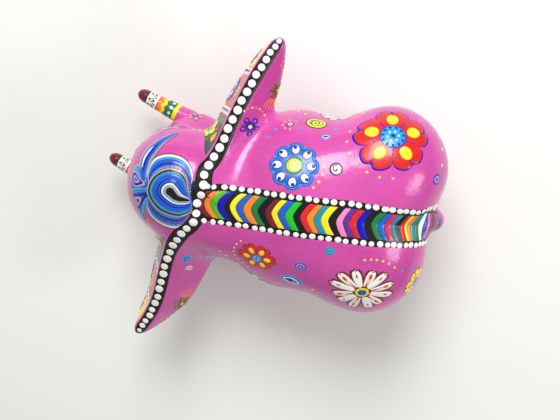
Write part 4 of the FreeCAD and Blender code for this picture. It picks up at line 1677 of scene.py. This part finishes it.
@dataclass
class BodyPainting:
    """Flowers, eyes, curls and dots over the two body halves."""

    form: ElephantForm

    def spot(self, x: float, spin: float, turn: float = 0.0,
             right: Sequence[float] = (-0.99, -0.135, -0.03)) -> Spot:
        """Place on the body at x, turned from the top by spin degrees towards the left.

        Args:
            x: distance forward.
            spin: degrees from the top towards the left.
            turn: degrees the sheet is turned.
            right: what the sheet's right follows.
        Returns:
            The sheet there.
        """
        angle = math.radians(spin)
        out = np.array([0.0, math.sin(angle), math.cos(angle)])
        start = np.array([x, 0, 78]) + self.form.shift + 110 * out
        return Spot(self.form, start, -out, right, turn)

    def scatter(self, brush: Brushwork, places: Sequence[tuple], paint: Paint, size: float = 1.0) -> None:
        """Single dots at (x, spin) places.

        Args:
            brush: brush to draw with.
            places: x and spin of each dot.
            paint: their colour.
            size: radius of a dot.
        """
        for number, (x, spin) in enumerate(places):
            brush.sheet = self.spot(x, spin)
            brush.disc((0, 0), size * (1 + 0.12 * math.sin(3 * number)), paint, 1, turns=12, stretch=0.9)

    def build(self) -> list[bpy.types.Object]:
        """Right flank, left flank and belly, one piece each."""
        return [self.right(), self.left(), self.belly()]

    def right(self) -> bpy.types.Object:
        """Blue eye flower, big red flower, curls and dots.

        Returns:
            The painted piece.
        """
        brush = Brushwork(self.form, "paint_right_flank")
        motifs = Motifs(brush)
        brush.sheet = self.spot(16, -42)
        motifs.eye_flower(16.0)
        motifs.ring_of_dots(5, 18.6, 0.95, Paint.YELLOW, 1, -50, 62)
        brush.sheet = self.spot(-41.3, -64, 6)
        motifs.heart_flower(26.5, 5, Paint.RED, Paint.NAVY, Paint.YELLOW, Paint.AQUA, begin=83,
                            flat=0.95)
        motifs.ring_of_dots(7, 29.4, 0.95, Paint.YELLOW, 1, 157, 108)
        brush.sheet = self.spot(6.2, -81)
        motifs.snail(7.2)
        motifs.ring_of_dots(3, 12.5, 0.9, Paint.SKY, 1, 150, 60)
        brush.sheet = self.spot(-9.6, -43)
        motifs.cat_curl(4.0)
        brush.sheet = self.spot(22.5, -78)
        motifs.bullseye(2.6, (Paint.MAROON, Paint.WHITE, Paint.NAVY))
        motifs.ring_of_dots(5, 4.6, 0.7, Paint.YELLOW, 1, 90, 180)
        brush.sheet = self.spot(-0.8, -68)
        motifs.almond(3.6)
        brush.sheet = self.spot(-72.5, -54)
        motifs.bullseye(4.2, (Paint.PURPLE, Paint.LILAC, Paint.PURPLE))
        self.scatter(brush, ((-72, -87), (-74, -76), (-75, -66), (-76, -44)), Paint.CREAM, 1.1)
        brush.sheet = self.spot(-70, -104)
        motifs.round_flower(11, 6, Paint.LIME, Paint.GREEN, Paint.RED)
        brush.sheet = self.spot(-8, -100)
        motifs.daisy(15.0)
        brush.sheet = self.spot(38, -98)
        motifs.heart_flower(13.0, 5, Paint.ORANGE, Paint.MAROON, Paint.YELLOW, Paint.BRIGHT_GREEN)
        self.scatter(brush, ((-22, -88), (-26, -96), (-27, -105), (14, -92), (19, -98), (22, -106),
                             (48, -75), (54, -70), (58, -63)), Paint.YELLOW)
        self.scatter(brush, ((-6, -75), (31, -74), (34, -68), (-14, -112)), Paint.SKY, 1.2)
        return brush.finish()

    def left(self) -> bpy.types.Object:
        """Daisy, small red flower, almond eye, rings and dots.

        Returns:
            The painted piece.
        """
        brush = Brushwork(self.form, "paint_left_flank")
        motifs = Motifs(brush)
        brush.sheet = self.spot(-36.9, 55, 4)
        motifs.daisy(23.5)
        brush.sheet = self.spot(-36.9, 55)
        for i, angle in enumerate(np.radians([87, 77, 68, 58, 48, 36])):
            reach = 24.5 + 0.9 * i
            brush.disc((reach * math.cos(angle), reach * math.sin(angle)), 1.0, Paint.YELLOW, 1, turns=12)
        brush.sheet = self.spot(31.7, 52)
        motifs.heart_flower(13.0, 6, Paint.RED, Paint.MAROON, Paint.YELLOW, begin=60, flat=0.86)
        motifs.ring_of_dots(8, 16.0, 0.75, Paint.YELLOW, 1, 130, 110, 0.9)
        brush.sheet = self.spot(3.5, 48)
        motifs.bullseye(4.0, (Paint.BLUE, Paint.LILAC, Paint.NAVY, Paint.PALE_PINK))
        brush.sheet = self.spot(8.3, 65, -22)
        motifs.almond(8.6)
        brush.sheet = self.spot(17, 82)
        motifs.bullseye(2.6, (Paint.NAVY, Paint.WHITE, Paint.PALE_PINK))
        brush.sheet = self.spot(-13.1, 29)
        motifs.bullseye(3.4, (Paint.TEAL, Paint.SKY, Paint.TEAL))
        self.scatter(brush, ((-6, 68), (-8.5, 76), (2, 80), (-2, 88)), Paint.YELLOW)
        brush.sheet = self.spot(33, 92)
        brush.disc((0, 0), 1.0, Paint.NAVY, 1)
        self.moon_flower(brush, 16.0)
        brush.sheet = self.spot(-32, 97)
        motifs.eye_flower(11.0)
        brush.sheet = self.spot(-71, 72)
        motifs.heart_flower(11.5, 5, Paint.YELLOW, Paint.MAROON, Paint.ORANGE, Paint.SKY)
        brush.sheet = self.spot(-2, 108)
        motifs.snail(7.0)
        self.scatter(brush, ((-52, 88), (-56, 95), (-58, 103), (-12, 92), (-10, 99), (52, 66), (56, 60)),
                     Paint.YELLOW)
        self.scatter(brush, ((-66, 52), (-60, 46), (-18, 84), (46, 72)), Paint.SKY, 1.2)
        return brush.finish()

    def moon_flower(self, brush: Brushwork, size: float) -> None:
        """White round petals edged navy with a blue heart and red threads.

        Args:
            brush: brush to draw with.
            size: radius in millimetres.
        """
        for i in range(8):
            angle = 2 * math.pi * i / 8
            out = heading(angle)
            brush.disc(out * size * 0.66, size * 0.34, Paint.NAVY, 1 + i % 2, stretch=0.74, turn=angle)
            brush.disc(out * size * 0.66, size * 0.29, Paint.WHITE, 3, stretch=0.72, turn=angle)
            brush.stroke(np.stack([out * size * 0.42, out * size * 0.72]), 0.8, Paint.SKY, 4)
        for reach, paint, layer in ((0.4, Paint.NAVY, 5), (0.34, Paint.BLUE, 6), (0.22, Paint.ORANGE, 7),
                                    (0.13, Paint.YELLOW, 8)):
            brush.disc((0, 0), reach * size, paint, layer)

    def belly(self) -> bpy.types.Object:
        """One flower and a ring of dots under the body.

        Returns:
            The painted piece.
        """
        brush = Brushwork(self.form, "paint_belly")
        motifs = Motifs(brush)
        brush.sheet = self.spot(-10, 180)
        motifs.round_flower(13, 8, Paint.ORANGE, Paint.MAROON, Paint.YELLOW)
        motifs.ring_of_dots(18, 15.5, 0.9, Paint.WHITE, 1)
        return brush.finish()


@dataclass
class Hoop:
    """A band held round a limb: the first number is the angle, the second goes along the limb."""

    form: ElephantForm
    centre: Array
    axis: Array
    front: Array
    reach: float

    def __call__(self, flat: Array) -> Array:
        """Space points found by closing the hoop on the limb.

        Args:
            flat: points on the sheet.
        Returns:
            Row points near the skin.
        """
        axis = unit(self.axis)
        front = unit(np.asarray(self.front) - axis * (np.asarray(self.front) @ axis))
        side = np.cross(axis, front)
        out = np.cos(flat[:, :1]) * front + np.sin(flat[:, :1]) * side
        start = self.centre + flat[:, 1:] * axis + self.reach * out
        return self.form.cast(start, -out)


@dataclass
class LimbPainting:
    """Painted cuffs and nails on the legs, rings on the trunk and the tail."""

    form: ElephantForm

    def cuff(self, brush: Brushwork, sweep: float, rows: Sequence[tuple]) -> None:
        """Rings round a limb.

        Args:
            brush: brush whose sheet is a hoop.
            sweep: half the angle covered.
            rows: position along, width, paint and layer of each ring.
        """
        angle = np.linspace(-sweep, sweep, 72)
        for along, width, paint, layer in rows:
            line = np.stack([angle, along + 0.25 * np.sin(3 * angle + along)], -1)
            self.band(brush, line, width, paint, layer)

    def band(self, brush: Brushwork, line: Array, width: float, paint: Paint, layer: float) -> None:
        """A ring of even width: the second number is spread by half the width either way.

        Args:
            brush: brush to draw with.
            line: its middle line.
            width: full width in millimetres.
            paint: its colour.
            layer: how many coats lie below.
        """
        share = np.linspace(-0.5, 0.5, 7)
        grid = np.stack(np.broadcast_arrays(line[:, :1], line[:, 1:] + width * share[None]), -1)
        brush.panel(grid, paint, layer)

    def beads(self, brush: Brushwork, reach: float, sweep: float, along: float, count: int,
              size: float, paint: Paint, layer: float) -> None:
        """Dots round a limb, their angle scaled by the limb's radius.

        Args:
            brush: brush to draw with.
            reach: the limb's radius.
            sweep: half the angle covered.
            along: place along the limb.
            count: how many.
            size: radius of a bead.
            paint: its colour.
            layer: how many coats lie below.
        """
        for angle in np.linspace(-sweep, sweep, count, endpoint=sweep < 3.1):
            turn = np.linspace(0, 2 * np.pi, 12, endpoint=False)
            outline = np.stack([angle + size * np.cos(turn) / reach, along + size * np.sin(turn)], -1)
            brush.blob(outline, (angle, along), paint, layer)

    def leg(self, name: str, x: float, y: float, radius: float) -> None:
        """Black cuff with white dots, yellow and blue rings with sky dots above it, an orange ring below
        it and white nails at the front.

        Args:
            name: its name.
            x: distance forward.
            y: distance to the left.
            radius: radius of the foot.
        """
        centre = np.array([x, y, 0.0]) + self.form.shift
        hoop = Hoop(self.form, centre, np.array([0, 0, 1.0]), np.array([1.0, 0, 0]), radius + 9)
        brush = Brushwork(self.form, name, hoop)
        self.cuff(brush, math.pi, ((15.0, 6.0, Paint.BLACK, 1), (19.4, 2.4, Paint.YELLOW, 1),
                                   (22.4, 3.0, Paint.BLUE, 1), (11.2, 1.4, Paint.ORANGE, 1)))
        self.beads(brush, radius, math.pi, 15.0, 19, 1.9, Paint.WHITE, 2)
        self.beads(brush, radius, math.pi, 22.4, 22, 0.9, Paint.SKY, 2)
        for angle in (-1.0, -0.5, 0.0, 0.5, 1.0):
            turn = np.linspace(0, 2 * np.pi, 20, endpoint=False)
            for size, paint, layer in ((1.18, Paint.BLACK, 1), (1.0, Paint.WHITE, 2)):
                nail = np.stack([angle + size * 3.1 * np.cos(turn) / radius,
                                 5.6 + size * 3.0 * np.sin(turn)], -1)
                brush.blob(nail, (angle, 5.6), paint, layer)
        brush.finish()

    def legs(self) -> None:
        """All four legs."""
        for word, (x, y), foot in (("front", *self.form.front_leg[:2]),
                                   ("rear", *self.form.rear_leg[:2])):
            for side, sign in (("left", 1), ("right", -1)):
                self.leg(f"paint_leg_{word}_{side}", x, sign * y, foot)

    def trunk(self) -> None:
        """Rings down the trunk's front with a row of dots between them."""
        place = self.form.head_place
        brush = Brushwork(self.form, "paint_trunk")
        knots = [np.array(k[0], float) for k in self.form.trunk]
        centre = place.row((0.55 * knots[0] + 0.45 * knots[1])[None])[0]
        axis = place.axes @ unit(knots[1] - knots[0])
        front = place.axes @ np.array([1.0, 0, 0])
        brush.sheet = Hoop(self.form, centre, axis, front, 26)
        self.cuff(brush, 0.9, ((3.2, 2.2, Paint.YELLOW, 1), (6.4, 2.6, Paint.GREEN, 1)))
        self.beads(brush, 12, 0.8, 6.4, 8, 0.7, Paint.WHITE, 2)
        centre = place.row((0.4 * knots[1] + 0.6 * knots[2])[None])[0]
        axis = place.axes @ unit(knots[2] - knots[1])
        brush.sheet = Hoop(self.form, centre, axis, front, 20)
        self.cuff(brush, 1.5, ((-1.0, 3.6, Paint.BLUE, 1), (2.2, 2.0, Paint.RED, 1),
                               (4.6, 2.0, Paint.YELLOW, 1)))
        self.beads(brush, 9.5, 1.4, -1.0, 9, 1.0, Paint.SKY, 2)
        brush.finish()

    def tail(self) -> None:
        """Striped tail with a black tuft."""
        knots = [np.array(k[0], float) for k in self.form.tail]
        brush = Brushwork(self.form, "paint_tail")
        centre = knots[2] + self.form.shift
        brush.sheet = Hoop(self.form, centre, np.array([0, 0, 1.0]), np.array([-1.0, 0, 0]), 11)
        self.cuff(brush, 1.2, ((6.0, 2.2, Paint.BLACK, 1),))
        self.cuff(brush, 2.2, ((2.6, 2.2, Paint.YELLOW, 1), (-0.4, 2.6, Paint.NAVY, 1),
                               (-3.4, 2.2, Paint.ORANGE, 1), (-6.4, 2.4, Paint.GREEN, 1),
                               (-13.0, 9.0, Paint.BLACK, 1)))
        self.beads(brush, 5, 1.9, -13.0, 7, 1.0, Paint.WHITE, 2)
        brush.finish()


@dataclass
class FacePainting:
    """Eyes with lashes, cheek flowers and a flower on the brow."""

    form: ElephantForm

    def spot(self, start: Sequence[float], goal: Sequence[float], turn: float = 0.0) -> Spot:
        """Place on the head on the way from start to goal, both in head axes.

        Args:
            start: point to come from.
            goal: point to head for.
            turn: degrees the sheet is turned.
        Returns:
            The sheet there.
        """
        place = self.form.head_place
        ends = place.row(np.array([start, goal], float))
        return Spot(self.form, ends[0], ends[1] - ends[0], place.axes @ np.array([0.0, 0, 1.0]), turn)

    def build(self) -> bpy.types.Object:
        """Paint both sides of the face.

        Returns:
            The painted piece.
        """
        brush = Brushwork(self.form, "paint_face")
        motifs = Motifs(brush)
        for sign in (1, -1):
            brush.sheet = self.spot((95, sign * 62, -40), (16, sign * 10, -50), 90)
            self.eye(brush)
            brush.sheet = self.spot((60, sign * 90, -68), (18, sign * 14, -70))
            motifs.round_flower(6.5, 6, Paint.ORANGE, Paint.NAVY, Paint.SKY)
            brush.sheet = self.spot((90, sign * 30, -62), (18, sign * 8, -62))
            motifs.bullseye(3.4, (Paint.NAVY, Paint.YELLOW, Paint.RED))
            brush.sheet = self.spot((40, sign * 110, -46), (12, sign * 6, -48))
            motifs.ring_of_dots(8, 5.5, 0.8, Paint.WHITE, 1)
            motifs.bullseye(3.2, (Paint.YELLOW, Paint.GREEN, Paint.WHITE))
        brush.sheet = self.spot((110, 0, -44), (10, 0, -46))
        motifs.heart_flower(9.0, 6, Paint.RED, Paint.NAVY, Paint.YELLOW)
        return brush.finish()

    def eye(self, brush: Brushwork) -> None:
        """Almond eye: black line, white, blue iris, pupil, glint, and a fan of lashes.

        Args:
            brush: brush to draw with.
        """
        for reach, paint, layer in ((9.6, Paint.SKY, 1), (8.6, Paint.BLACK, 2), (7.6, Paint.WHITE, 3)):
            brush.blob(reach * leaf(1.0, 0.58, 0.4, 48), (0, 0), paint, layer)
        for reach, paint, layer in ((3.6, Paint.NAVY, 4), (3.1, Paint.BLUE, 5), (1.9, Paint.BLACK, 6)):
            brush.disc((0.3, 0), reach, paint, layer)
        brush.disc((-0.7, 1.1), 0.7, Paint.WHITE, 7, turns=10)
        for number in range(7):
            lean = math.radians(150 - 20 * number)
            out = heading(lean)
            root = np.array([8.2 * out[0], 4.4 * out[1]])
            brush.stroke(np.stack([root, root + 2.2 * out, root + 4.0 * out]), np.array([0.9, 0.7, 0.3]),
                         Paint.BLACK, 2)


@dataclass
class Tusks:
    """Two tusks, painted in bands from a dark red tip to a yellow ring at the root.

    Surface: round rings along a straight axis; the radius runs evenly from root to tip, then
    follows a quarter ellipse to the point.
    """

    form: ElephantForm
    root: tuple = (30, 26, -78)
    tip: tuple = (67, 25.5, -83)
    root_radius: float = 7.0
    tip_radius: float = 4.6
    around: int = 108
    lengthwise: int = 130

    POTS = (Paint.MAROON, Paint.BLACK, Paint.WHITE, Paint.CRIMSON, Paint.GREEN, Paint.ORANGE,
            Paint.TEAL, Paint.YELLOW, Paint.PINK)

    def paint_at(self, away: Array, angle: Array) -> Array:
        """Pattern of bands, scallops, beads and a zigzag, painted from the root to the point.

        Args:
            away: distance back from the point, millimetres.
            angle: angle round the tusk in radians.
        Returns:
            Number of the paint in POTS.
        """
        centre = np.mod(angle * 7 / (2 * np.pi), 1.0) - 0.5
        small = np.mod(angle * 9 / (2 * np.pi), 1.0) - 0.5
        wave = 2 * np.abs(centre)
        zig = 8.6 + 5.4 * wave
        steps = (
            (away < 31.5, Paint.YELLOW), (away < 29.0, Paint.GREEN),
            ((away < 29.0) & ((small * 4.2) ** 2 + (away - 26.4) ** 2 < 1.0), Paint.WHITE),
            (away < 23.9, Paint.MAROON), (away < 23.0, Paint.TEAL),
            (away < 21.4 + 1.6 * wave, Paint.YELLOW), (away < 18.9 + 1.6 * wave, Paint.ORANGE),
            (away < 16.9, Paint.CRIMSON), (away < 16.0, Paint.WHITE),
            ((away > zig) & (away < zig + 1.5) & (away < 15.6), Paint.GREEN),
            ((centre * 4.6) ** 2 + (away - 13.2) ** 2 < 0.65, Paint.BLACK),
            ((centre * 4.6) ** 2 + (away - 9.9) ** 2 < 0.5, Paint.BLACK),
            (away < 8.2, Paint.BLACK), (away < 7.3, Paint.MAROON))
        paint = np.full(away.shape, self.POTS.index(Paint.PINK))
        for where, pot in steps:
            paint[where] = self.POTS.index(pot)
        return paint

    def build(self) -> None:
        """Make both tusks."""
        for name, sign in (("tusk_left", 1), ("tusk_right", -1)):
            root = np.array(self.root, float) * (1, sign, 1)
            tip = np.array(self.tip, float) * (1, sign, 1)
            way = unit(tip - root)
            length = float(np.linalg.norm(tip - root))
            straight, nose = length - 2.0, 6.4
            run = np.concatenate([np.linspace(0, straight, self.lengthwise),
                                  straight + nose * np.sin(np.linspace(0.05, 0.5 * np.pi - 0.02, 26))])
            radius = np.interp(run, [0, straight], [self.root_radius, self.tip_radius])
            cap = run > straight
            radius[cap] *= np.sqrt(np.maximum(1 - ((run[cap] - straight) / nose) ** 2, 0.0004))
            radius = radius + 0.10 * np.sin(run / 2.1) * (radius > 3)
            angle = np.linspace(0, 2 * np.pi, self.around, endpoint=False)
            side = unit(np.cross(way, [0, 0, 1.0]))
            up = np.cross(side, way)
            ring = np.cos(angle)[:, None] * side + np.sin(angle)[:, None] * up
            points = root + run[:, None, None] * way + radius[:, None, None] * ring[None]
            points = np.concatenate([points.reshape(-1, 3), [root, root + (straight + nose) * way]])
            rows, cols = len(run), self.around
            faces = np.roll(lattice(rows, cols, True), -1, axis=1)
            away = straight + nose - 0.5 * (run[:-1] + run[1:])
            finish = self.paint_at(*np.broadcast_arrays(away[:, None],
                                                        angle[None] + np.pi / cols)).ravel()
            last = rows * cols
            col = np.arange(cols)
            caps = np.concatenate([
                np.stack([np.full(cols, last), (col + 1) % cols, col], -1),
                np.stack([np.full(cols, last + 1), (rows - 1) * cols + col,
                          (rows - 1) * cols + (col + 1) % cols], -1)])
            mesh_faces = faces.tolist() + caps[:, ::-1].tolist()
            ends = [np.full(cols, self.POTS.index(pot)) for pot in (Paint.PINK, Paint.MAROON)]
            finish = np.concatenate([finish, *ends])
            piece = make_object(name + "_painted", self.form.head_place.row(points), mesh_faces,
                                [pot.material() for pot in self.POTS], finish)
            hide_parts(name)
            LOG.info("%s: %d faces", piece.name, len(mesh_faces))


@dataclass(frozen=True)
class DryMatter:
    """Bare paper, card or wood inside the figure: matt, fibrous, no varnish.

    Fibres a few tenths of a millimetre wide, drawn out along one direction, tell the eye
    which way the sheet or the stick runs.
    """

    name: str
    colour: str
    deep: str
    fibre_mm: float
    drawn: tuple

    def build(self) -> bpy.types.Material:
        """Build the material on Object coordinates.

        Returns:
            The material.
        """
        material, tree, out = start_material(self.name)
        place = add_node(tree, "ShaderNodeTexCoord")
        grain = add_node(tree, "ShaderNodeMapping", inputs={"Scale": self.drawn},
                         links={"Vector": place.outputs["Object"]})
        fibre = add_node(tree, "ShaderNodeTexNoise",
                         inputs={"Scale": 1 / (self.fibre_mm * MM), "Detail": 3.0},
                         links={"Vector": grain.outputs["Vector"]})
        tone = add_node(tree, "ShaderNodeMix", {"data_type": "RGBA"},
                        {"A": linear(self.deep), "B": linear(self.colour)},
                        {"Factor": fibre.outputs["Fac"]})
        bump = add_node(tree, "ShaderNodeBump", inputs={"Strength": 0.3, "Distance": 0.0002},
                        links={"Height": fibre.outputs["Fac"]})
        shader = add_node(tree, "ShaderNodeBsdfPrincipled", inputs={"Roughness": 0.85},
                          links={"Base Color": tone.outputs["Result"], "Normal": bump.outputs["Normal"]})
        tree.links.new(shader.outputs["BSDF"], out.inputs["Surface"])
        return material


def dress_hidden_pieces() -> None:
    """Give the carried-over inner pieces and the soles their own materials."""
    kraft = DryMatter("kraft_paper_pulp", "B08A5C", "8A6840", 1.2, (1, 1, 1)).build()
    card = DryMatter("grey_board", "9C9A94", "7E7C76", 0.8, (1, 1, 1)).build()
    black = DryMatter("black_sole_card", "1C1B1A", "0E0E0D", 0.7, (1, 1, 1)).build()
    bamboo = DryMatter("split_bamboo", "D8B878", "B89450", 0.5, (0.1, 1, 1)).build()
    pine = DryMatter("pine_dowel", "E0C090", "C49C64", 0.9, (1, 1, 0.08)).build()
    for name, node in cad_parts.items():
        finish = (card if "card" in name else black if "sole" in name else bamboo if "pin" in name
                  else pine if "dowel" in name else kraft)
        for slot in range(len(node.material_slots)):
            node.material_slots[slot].material = finish


# ---------------------------------------------------------------- table, light and camera

@dataclass
class Stage:
    """A pale table, a soft room and the camera."""

    form: ElephantForm
    elevation: float = 13.0
    roll: float = 8.0
    distance: float = 0.590
    look_z: float = 0.066
    lens_angle: float = 35.0
    shift_x: float = -0.064
    shift_y: float = -0.0206

    def table(self) -> None:
        """Matt pale card under and behind the figure."""
        material, tree, out = start_material("pale_matt_card")
        shader = add_node(tree, "ShaderNodeBsdfPrincipled",
                          inputs={"Base Color": linear("F0F1EC"), "Roughness": 0.8})
        tree.links.new(shader.outputs["BSDF"], out.inputs["Surface"])
        mesh = bpy.data.meshes.new("table")
        mesh.from_pydata([(-3, -3, 0), (3, -3, 0), (3, 3, 0), (-3, 3, 0)], [], [(0, 1, 2, 3)])
        mesh.materials.append(material)
        floor = bpy.data.objects.new("table", mesh)
        bpy.context.collection.objects.link(floor)

    def lights(self) -> None:
        """One broad overhead soft box, a fill and the room."""
        world = bpy.data.worlds.new("room")
        bpy.context.scene.world = world
        world.use_nodes = True
        tree = world.node_tree
        tree.nodes.clear()
        room = add_node(tree, "ShaderNodeBackground",
                        inputs={"Color": linear("F4F4F2"), "Strength": 0.46})
        end = add_node(tree, "ShaderNodeOutputWorld")
        tree.links.new(room.outputs["Background"], end.inputs["Surface"])
        for name, spot, size, power in (("overhead", (0.1, -0.75, 0.85), 0.5, 10.5),
                                        ("side", (-0.9, 0.1, 0.7), 0.35, 3.0)):
            lamp = bpy.data.lights.new(name, "AREA")
            lamp.size = size
            lamp.energy = power
            holder = bpy.data.objects.new(name, lamp)
            holder.location = spot
            bpy.context.collection.objects.link(holder)
            aim = Vector((0, 0, 0.06)) - Vector(spot)
            holder.rotation_euler = aim.to_track_quat("-Z", "Y").to_euler()

    def camera(self) -> None:
        """Look along the back from above, the head to the left."""
        tilt, roll = math.radians(self.elevation), math.radians(self.roll)
        back = np.array([0, -math.sin(tilt), math.cos(tilt)])
        right_0 = np.array([-1.0, 0, 0])
        up_0 = np.cross(back, right_0)
        right = math.cos(roll) * right_0 + math.sin(roll) * up_0
        up = -math.sin(roll) * right_0 + math.cos(roll) * up_0
        look = np.array([self.form.shift[0] * MM, self.form.shift[1] * MM, self.look_z])
        data = bpy.data.cameras.new("camera")
        data.angle = math.radians(self.lens_angle)
        data.clip_start = 0.02
        data.shift_x, data.shift_y = self.shift_x, self.shift_y
        eye = bpy.data.objects.new("camera", data)
        bpy.context.collection.objects.link(eye)
        place = look + self.distance * back
        axes = Matrix(np.stack([right, up, back], -1).tolist())
        eye.matrix_world = Matrix.Translation(place.tolist()) @ axes.to_4x4()
        bpy.context.scene.camera = eye
        bpy.context.scene.view_settings.view_transform = "Standard"


def main() -> None:
    """Build the figure's skin, then its brushwork, then the room."""
    logging.basicConfig(level=logging.INFO, format="%(name)s %(message)s")
    form = ElephantForm()
    Skin(form).build()
    SpineBand(form).build()
    RimBand(form).build()
    CrownSwirl(form).build()
    EarPainting(form, 1).build()
    EarPainting(form, -1).build()
    BodyPainting(form).build()
    FacePainting(form).build()
    LimbPainting(form).legs()
    LimbPainting(form).trunk()
    LimbPainting(form).tail()
    Tusks(form).build()
    dress_hidden_pieces()
    stage = Stage(form)
    stage.table()
    stage.lights()
    stage.camera()


if __name__ == "__main__":
    main()
